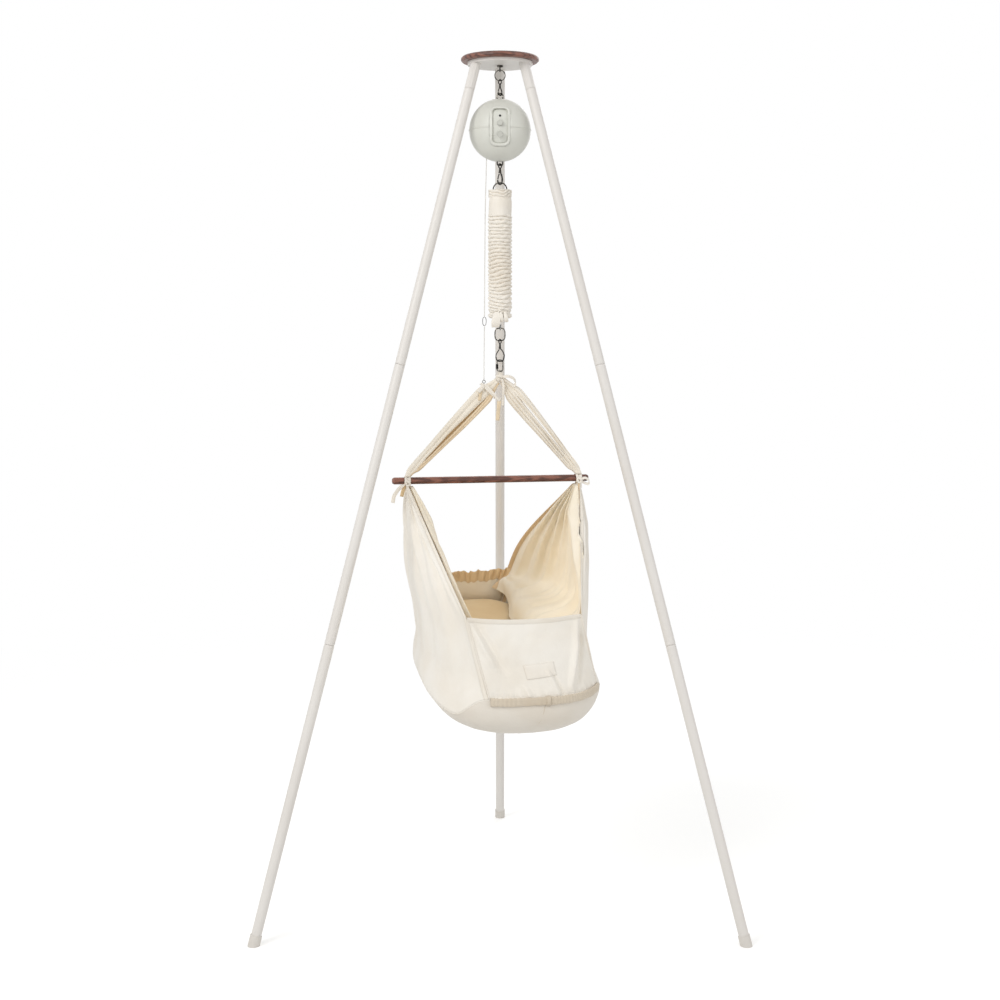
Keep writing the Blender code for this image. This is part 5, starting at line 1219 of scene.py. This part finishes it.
def coil_spring():
    """The spring's whole wire: end loop, coil and end loop."""
    run = np.linspace(0, 1, SPRING_TURNS * 28 + 1)
    angles = math.tau * SPRING_TURNS * run + math.radians(135)
    heights = SPRING_TOP + (SPRING_BOTTOM - SPRING_TOP) * run
    coil = np.stack([SPRING_RADIUS * np.cos(angles), SPRING_RADIUS * np.sin(angles), heights], 1)
    top, bottom = end_loop(SPRING_TOP + 0.0149, -50, 320), end_loop(SPRING_BOTTOM - 0.0463, 90, -300)
    lead_in = curve_through([top[-1], (0.0012, 0.0080, SPRING_TOP + 0.0049), coil[0]], 8)[1:-1]
    lead_out = curve_through([coil[-1], (-0.0010, 0.0060, SPRING_BOTTOM - 0.0111),
                              (-0.0018, 0, SPRING_BOTTOM - 0.0241), bottom[0]], 8)[1:-1]
    path = np.vstack([top, lead_in, coil, lead_out, bottom]) + (0, STAND_Y, 0)
    made = swept("spring_wire", path, circle(SPRING_WIRE / 2, 10), STEEL, None)
    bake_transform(made)
    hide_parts("spring")


def spring_sleeve():
    """The spring's gathered cotton cover: a ruffle, a plain neck, packed folds and a lower ruffle."""
    def rolled(at, first, second):
        """Soft rolls down the sleeve, from 0 to 1."""
        return np.abs(np.sin(math.pi * (at + first + second))) ** 0.7

    count = 96
    pick = np.random.default_rng(21)
    top, low, neck = 1.5984, 1.3193, 1.583
    folds_top, folds_low = SPRING_TOP - 0.022, SPRING_BOTTOM - 0.010
    pitch = (folds_top - folds_low) / 26
    jitter = np.cumsum(pick.uniform(0.75, 1.25, 40))
    points = []
    turns = np.linspace(0, math.tau, count, endpoint=False)
    for z in np.linspace(top, low, 330):
        if z > neck:
            petals = np.cos(7 * turns + 1.3 * np.sin(2 * turns)) + 0.5 * np.cos(15 * turns + 2)
            roll = rolled(z / 0.0068, 0.55 * np.sin(3 * turns), 0.3 * np.sin(5 * turns + 1))
            r = 0.0205 + 0.0046 * roll + 0.0011 * petals * smooth(z, neck, top)
        elif z > folds_top:
            share = smooth(z, 1.570, neck)
            r = (0.0246 - 0.0020 * share + 0.0006 * np.cos(11 * turns) * share
                 + 0.0008 * np.cos(3 * turns + 60 * z))
        elif z > folds_low:
            phase = (folds_top - z) / pitch
            local = np.interp(phase, np.arange(40), jitter)
            shift = (0.20 * np.sin(2 * turns + z * 47) + 0.07 * np.sin(5 * turns + 3 * phase)
                     + 0.4 * np.sin(turns + z * 23))
            wave = np.abs(np.sin(math.pi * (local + shift)))
            r = 0.0188 + 0.0070 * wave ** 0.5 + 0.0008 * np.sin(9 * turns + 3 * phase)
        else:
            drop = folds_low - z
            pinch = smooth(drop, 0.0, 0.006) - smooth(drop, 0.006, 0.012)
            petals = np.cos(8 * turns + np.sin(3 * turns)) + 0.6 * np.cos(15 * turns + 1)
            roll = rolled(z / 0.0062, 0.5 * np.sin(3 * turns + 2), 0.3 * np.sin(4 * turns))
            r = (0.0215 + 0.0040 * roll - 0.0030 * pinch + 0.0012 * petals * smooth(drop, 0.004, 0.016)
                 - 0.0045 * smooth(drop, 0.014, 0.0176))
        points.append(np.stack([r * np.cos(turns), STAND_Y + r * np.sin(turns), np.full(count, z)], 1))
    # The sleeve's inside face is the tan copy of the cloth: painted shade.
    made = sheet("spring_sleeve", np.array(points), 0.0010, (PLAIN, WARM), body=None, place=None,
                 around=True)
    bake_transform(made)
    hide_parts("spring_cover")


def sleeve_tie():
    """The cord round the sleeve's lower neck, with its bow."""
    tie_z, neck = 1.3324, 0.0178
    turns = np.linspace(0, math.tau, 48, endpoint=False)
    path = np.stack([neck * np.cos(turns), STAND_Y + neck * np.sin(turns),
                     tie_z + 0.0005 * np.sin(3 * turns)], 1)
    ring = swept("sleeve_cord", path, circle(0.0012, 10), PLAIN, "spring_bottom", cyclic=True)
    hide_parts("cover_tie")
    front = np.array((0, STAND_Y - 0.0230, tie_z))
    knot = front + [(-0.003, 0, 0), (0.001, -0.002, 0.003), (0.003, 0, -0.001), (-0.001, -0.001, -0.003)]
    swept("sleeve_knot", curve_through(knot, 6, True), circle(0.0014, 8), PLAIN, "spring_bottom",
          cyclic=True)
    for name, x, width, drop, lean in (("left", -0.0070, 0.0190, 0.033, -0.003),
                                       ("right", 0.0105, 0.0090, 0.022, 0.004),
                                       ("middle", 0.0015, 0.0090, 0.022, 0.002)):
        keys = [(0, -0.001, 0), (lean * 0.4, -0.007, -drop * 0.35), (lean * 0.8, -0.006, -drop * 0.75),
                (lean, 0.0, -drop), (lean * 0.8, 0.003, -drop * 0.7), (lean * 0.3, 0.002, -drop * 0.3)]
        path = curve_through(front + (x, 0, 0) + keys, 10, True)
        share = (tie_z - path[:, 2]) / drop
        broad = 0.35 + 0.65 * np.sin(np.clip(share, 0, 1) * math.pi * 0.62 + 0.25)
        swept(f"sleeve_bow_{name}", path, tape(width, RIBBON), PLAIN, "spring_bottom",
              across=(1, 0, 0.1), cyclic=True, scales=[(b, 1.0) for b in broad])


CORD_DIA = 0.0020
CORDS = (
    ("upper", LINKS, "cord_clip", ((-0.0255, 1.706), (-0.0280, 1.676), (-0.0297, 1.660), (-0.0325, 1.550),
                                   (-0.0335, 1.446), (-0.0345, 1.3224))),
    ("lower", ("carabiner", "lower_link"), "cord_ring",
     ((-0.0345, 1.3014), (-0.0352, 1.250), (-0.0357, 1.1830))),
)


def safety_cords():
    """The thin cord, from inside the motor to its clip, and on to the ring at the strap."""
    for part, ends, bit, spots in CORDS:
        keys = [(x, STAND_Y, z) for x, z in spots]
        path = curve_through(keys, 20)
        made = swept(f"cord_{part}", path, circle(CORD_DIA / 2, 10), CORD, None)
        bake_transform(made)
        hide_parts(f"safety_cord_{part}")


def rounded_box(half_width, low, high, corner, steps=10):
    """Points round an upright box with rounded corners."""
    points = []
    for cx, cz, first in ((1, 1, 0), (-1, 1, 90), (-1, -1, 180), (1, -1, 270)):
        x, z = cx * (half_width - corner), (high if cz > 0 else low) - cz * corner
        for turn in np.radians(first + 90 * np.arange(steps + 1) / steps):
            points.append((x + corner * math.cos(turn), z + corner * math.sin(turn)))
    return points


def on_the_ball(points, proud):
    """Points of the motor's front, given across and up from its centre."""
    reach = (MOTOR_RADIUS + proud) ** 2
    return np.array([(x, STAND_Y - math.sqrt(reach - x * x - z * z), MOTOR_Z + z) for x, z in points])


def motor_case():
    """The motor's smooth ball with its window for the panel, the panel's raised lip and the halves' bead."""
    centre = np.array((0, STAND_Y, MOTOR_Z))
    mesh = bpy.data.meshes.new("motor_ball")
    bm = bmesh.new()
    bmesh.ops.create_uvsphere(bm, u_segments=96, v_segments=64, radius=MOTOR_RADIUS,
                              matrix=Matrix.Translation(centre))
    bm.to_mesh(mesh)
    bm.free()
    ball = link("motor_ball", mesh)
    outline = rounded_box(0.0226, -0.0404, 0.0437, 0.0138)
    points = [(x, STAND_Y + y, MOTOR_Z + z) for y in (-0.10, -0.02) for x, z in outline]
    window = object_from("window", points, tube_faces(2, len(outline)), [], None)
    mesh.materials.append(SHELL)
    cut = ball.modifiers.new("cut", "BOOLEAN")
    cut.operation, cut.object, cut.solver = "DIFFERENCE", window, "EXACT"
    apply_modifiers(ball)
    bpy.data.objects.remove(window)
    ball.data.shade_smooth()
    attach(ball, "motor")
    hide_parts("motor_shell_upper", "motor_shell_lower")
    lip = on_the_ball(rounded_box(0.0197, -0.0375, 0.0421, 0.0115), 0.0004)
    section = [(0.0033 * c, 0.0024 * s) for c, s in circle(1, 12)]
    outward = (lip - centre) / np.linalg.norm(lip - centre, axis=1, keepdims=True)
    ahead = np.roll(lip, -1, 0) - np.roll(lip, 1, 0)
    swept("panel_lip", lip, section, SHELL, "motor", across=np.cross(ahead, outward),
          cyclic=True)
    turns = [math.radians(a) for a in range(-90 + 20, 270 - 19, 2)]
    path = [(MOTOR_RADIUS * math.cos(a), STAND_Y + MOTOR_RADIUS * math.sin(a), MOTOR_Z) for a in turns]
    swept("motor_bead", path, circle(0.0012, 8), SHELL, "motor")


LEG_RADIUS, FOOT_REACH, LEG_LEAN, LEG_TOP = 0.011, 0.600, 0.540, 1.866
LEG_ANGLES = {"left": 210, "right": 330, "back": 90}
LEG_SECTIONS = {"upper": (1.218, 1.810), "middle": (0.626, 1.218), "lower": (0.008, 0.626)}
# How far from a section's end it is eased, and by how much
EASED = ((0.0002, 0.93), (0.0008, 0.98), (0.0016, 1), (0.004, 1))


def legs():
    """The leg sections as smooth tubes. Their ends are eased, so a fine seam shows where two meet."""
    for side, angle in LEG_ANGLES.items():
        way = np.array((math.cos(math.radians(angle)), math.sin(math.radians(angle)), 0))
        for part, heights in LEG_SECTIONS.items():
            low, high = (way * (FOOT_REACH - LEG_LEAN * z / LEG_TOP) + (0, STAND_Y, z) for z in heights)
            long = float(np.linalg.norm(high - low))
            spots = [*EASED, (long / 2, 1), *((long - spot, scale) for spot, scale in EASED[::-1])]
            path = [low + (high - low) * spot / long for spot, _ in spots]
            made = swept(f"{side}_{part}_tube", path, circle(LEG_RADIUS, 40), STAND, "stand",
                         scales=[scale for _, scale in spots])
            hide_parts(f"leg_{part}_{side}")


look_from_the_front()
studio()
safety_cords()
coil_spring()
spring_sleeve()
sleeve_tie()
legs()
motor_case()
for side in OUT:
    lining(side, side_panel(side))
near_end = near_panel()
far_panel()
pocket = bowl()
trim()
seams(near_end, pocket)
mattress()
straps()
apex()
bar_ribbons()
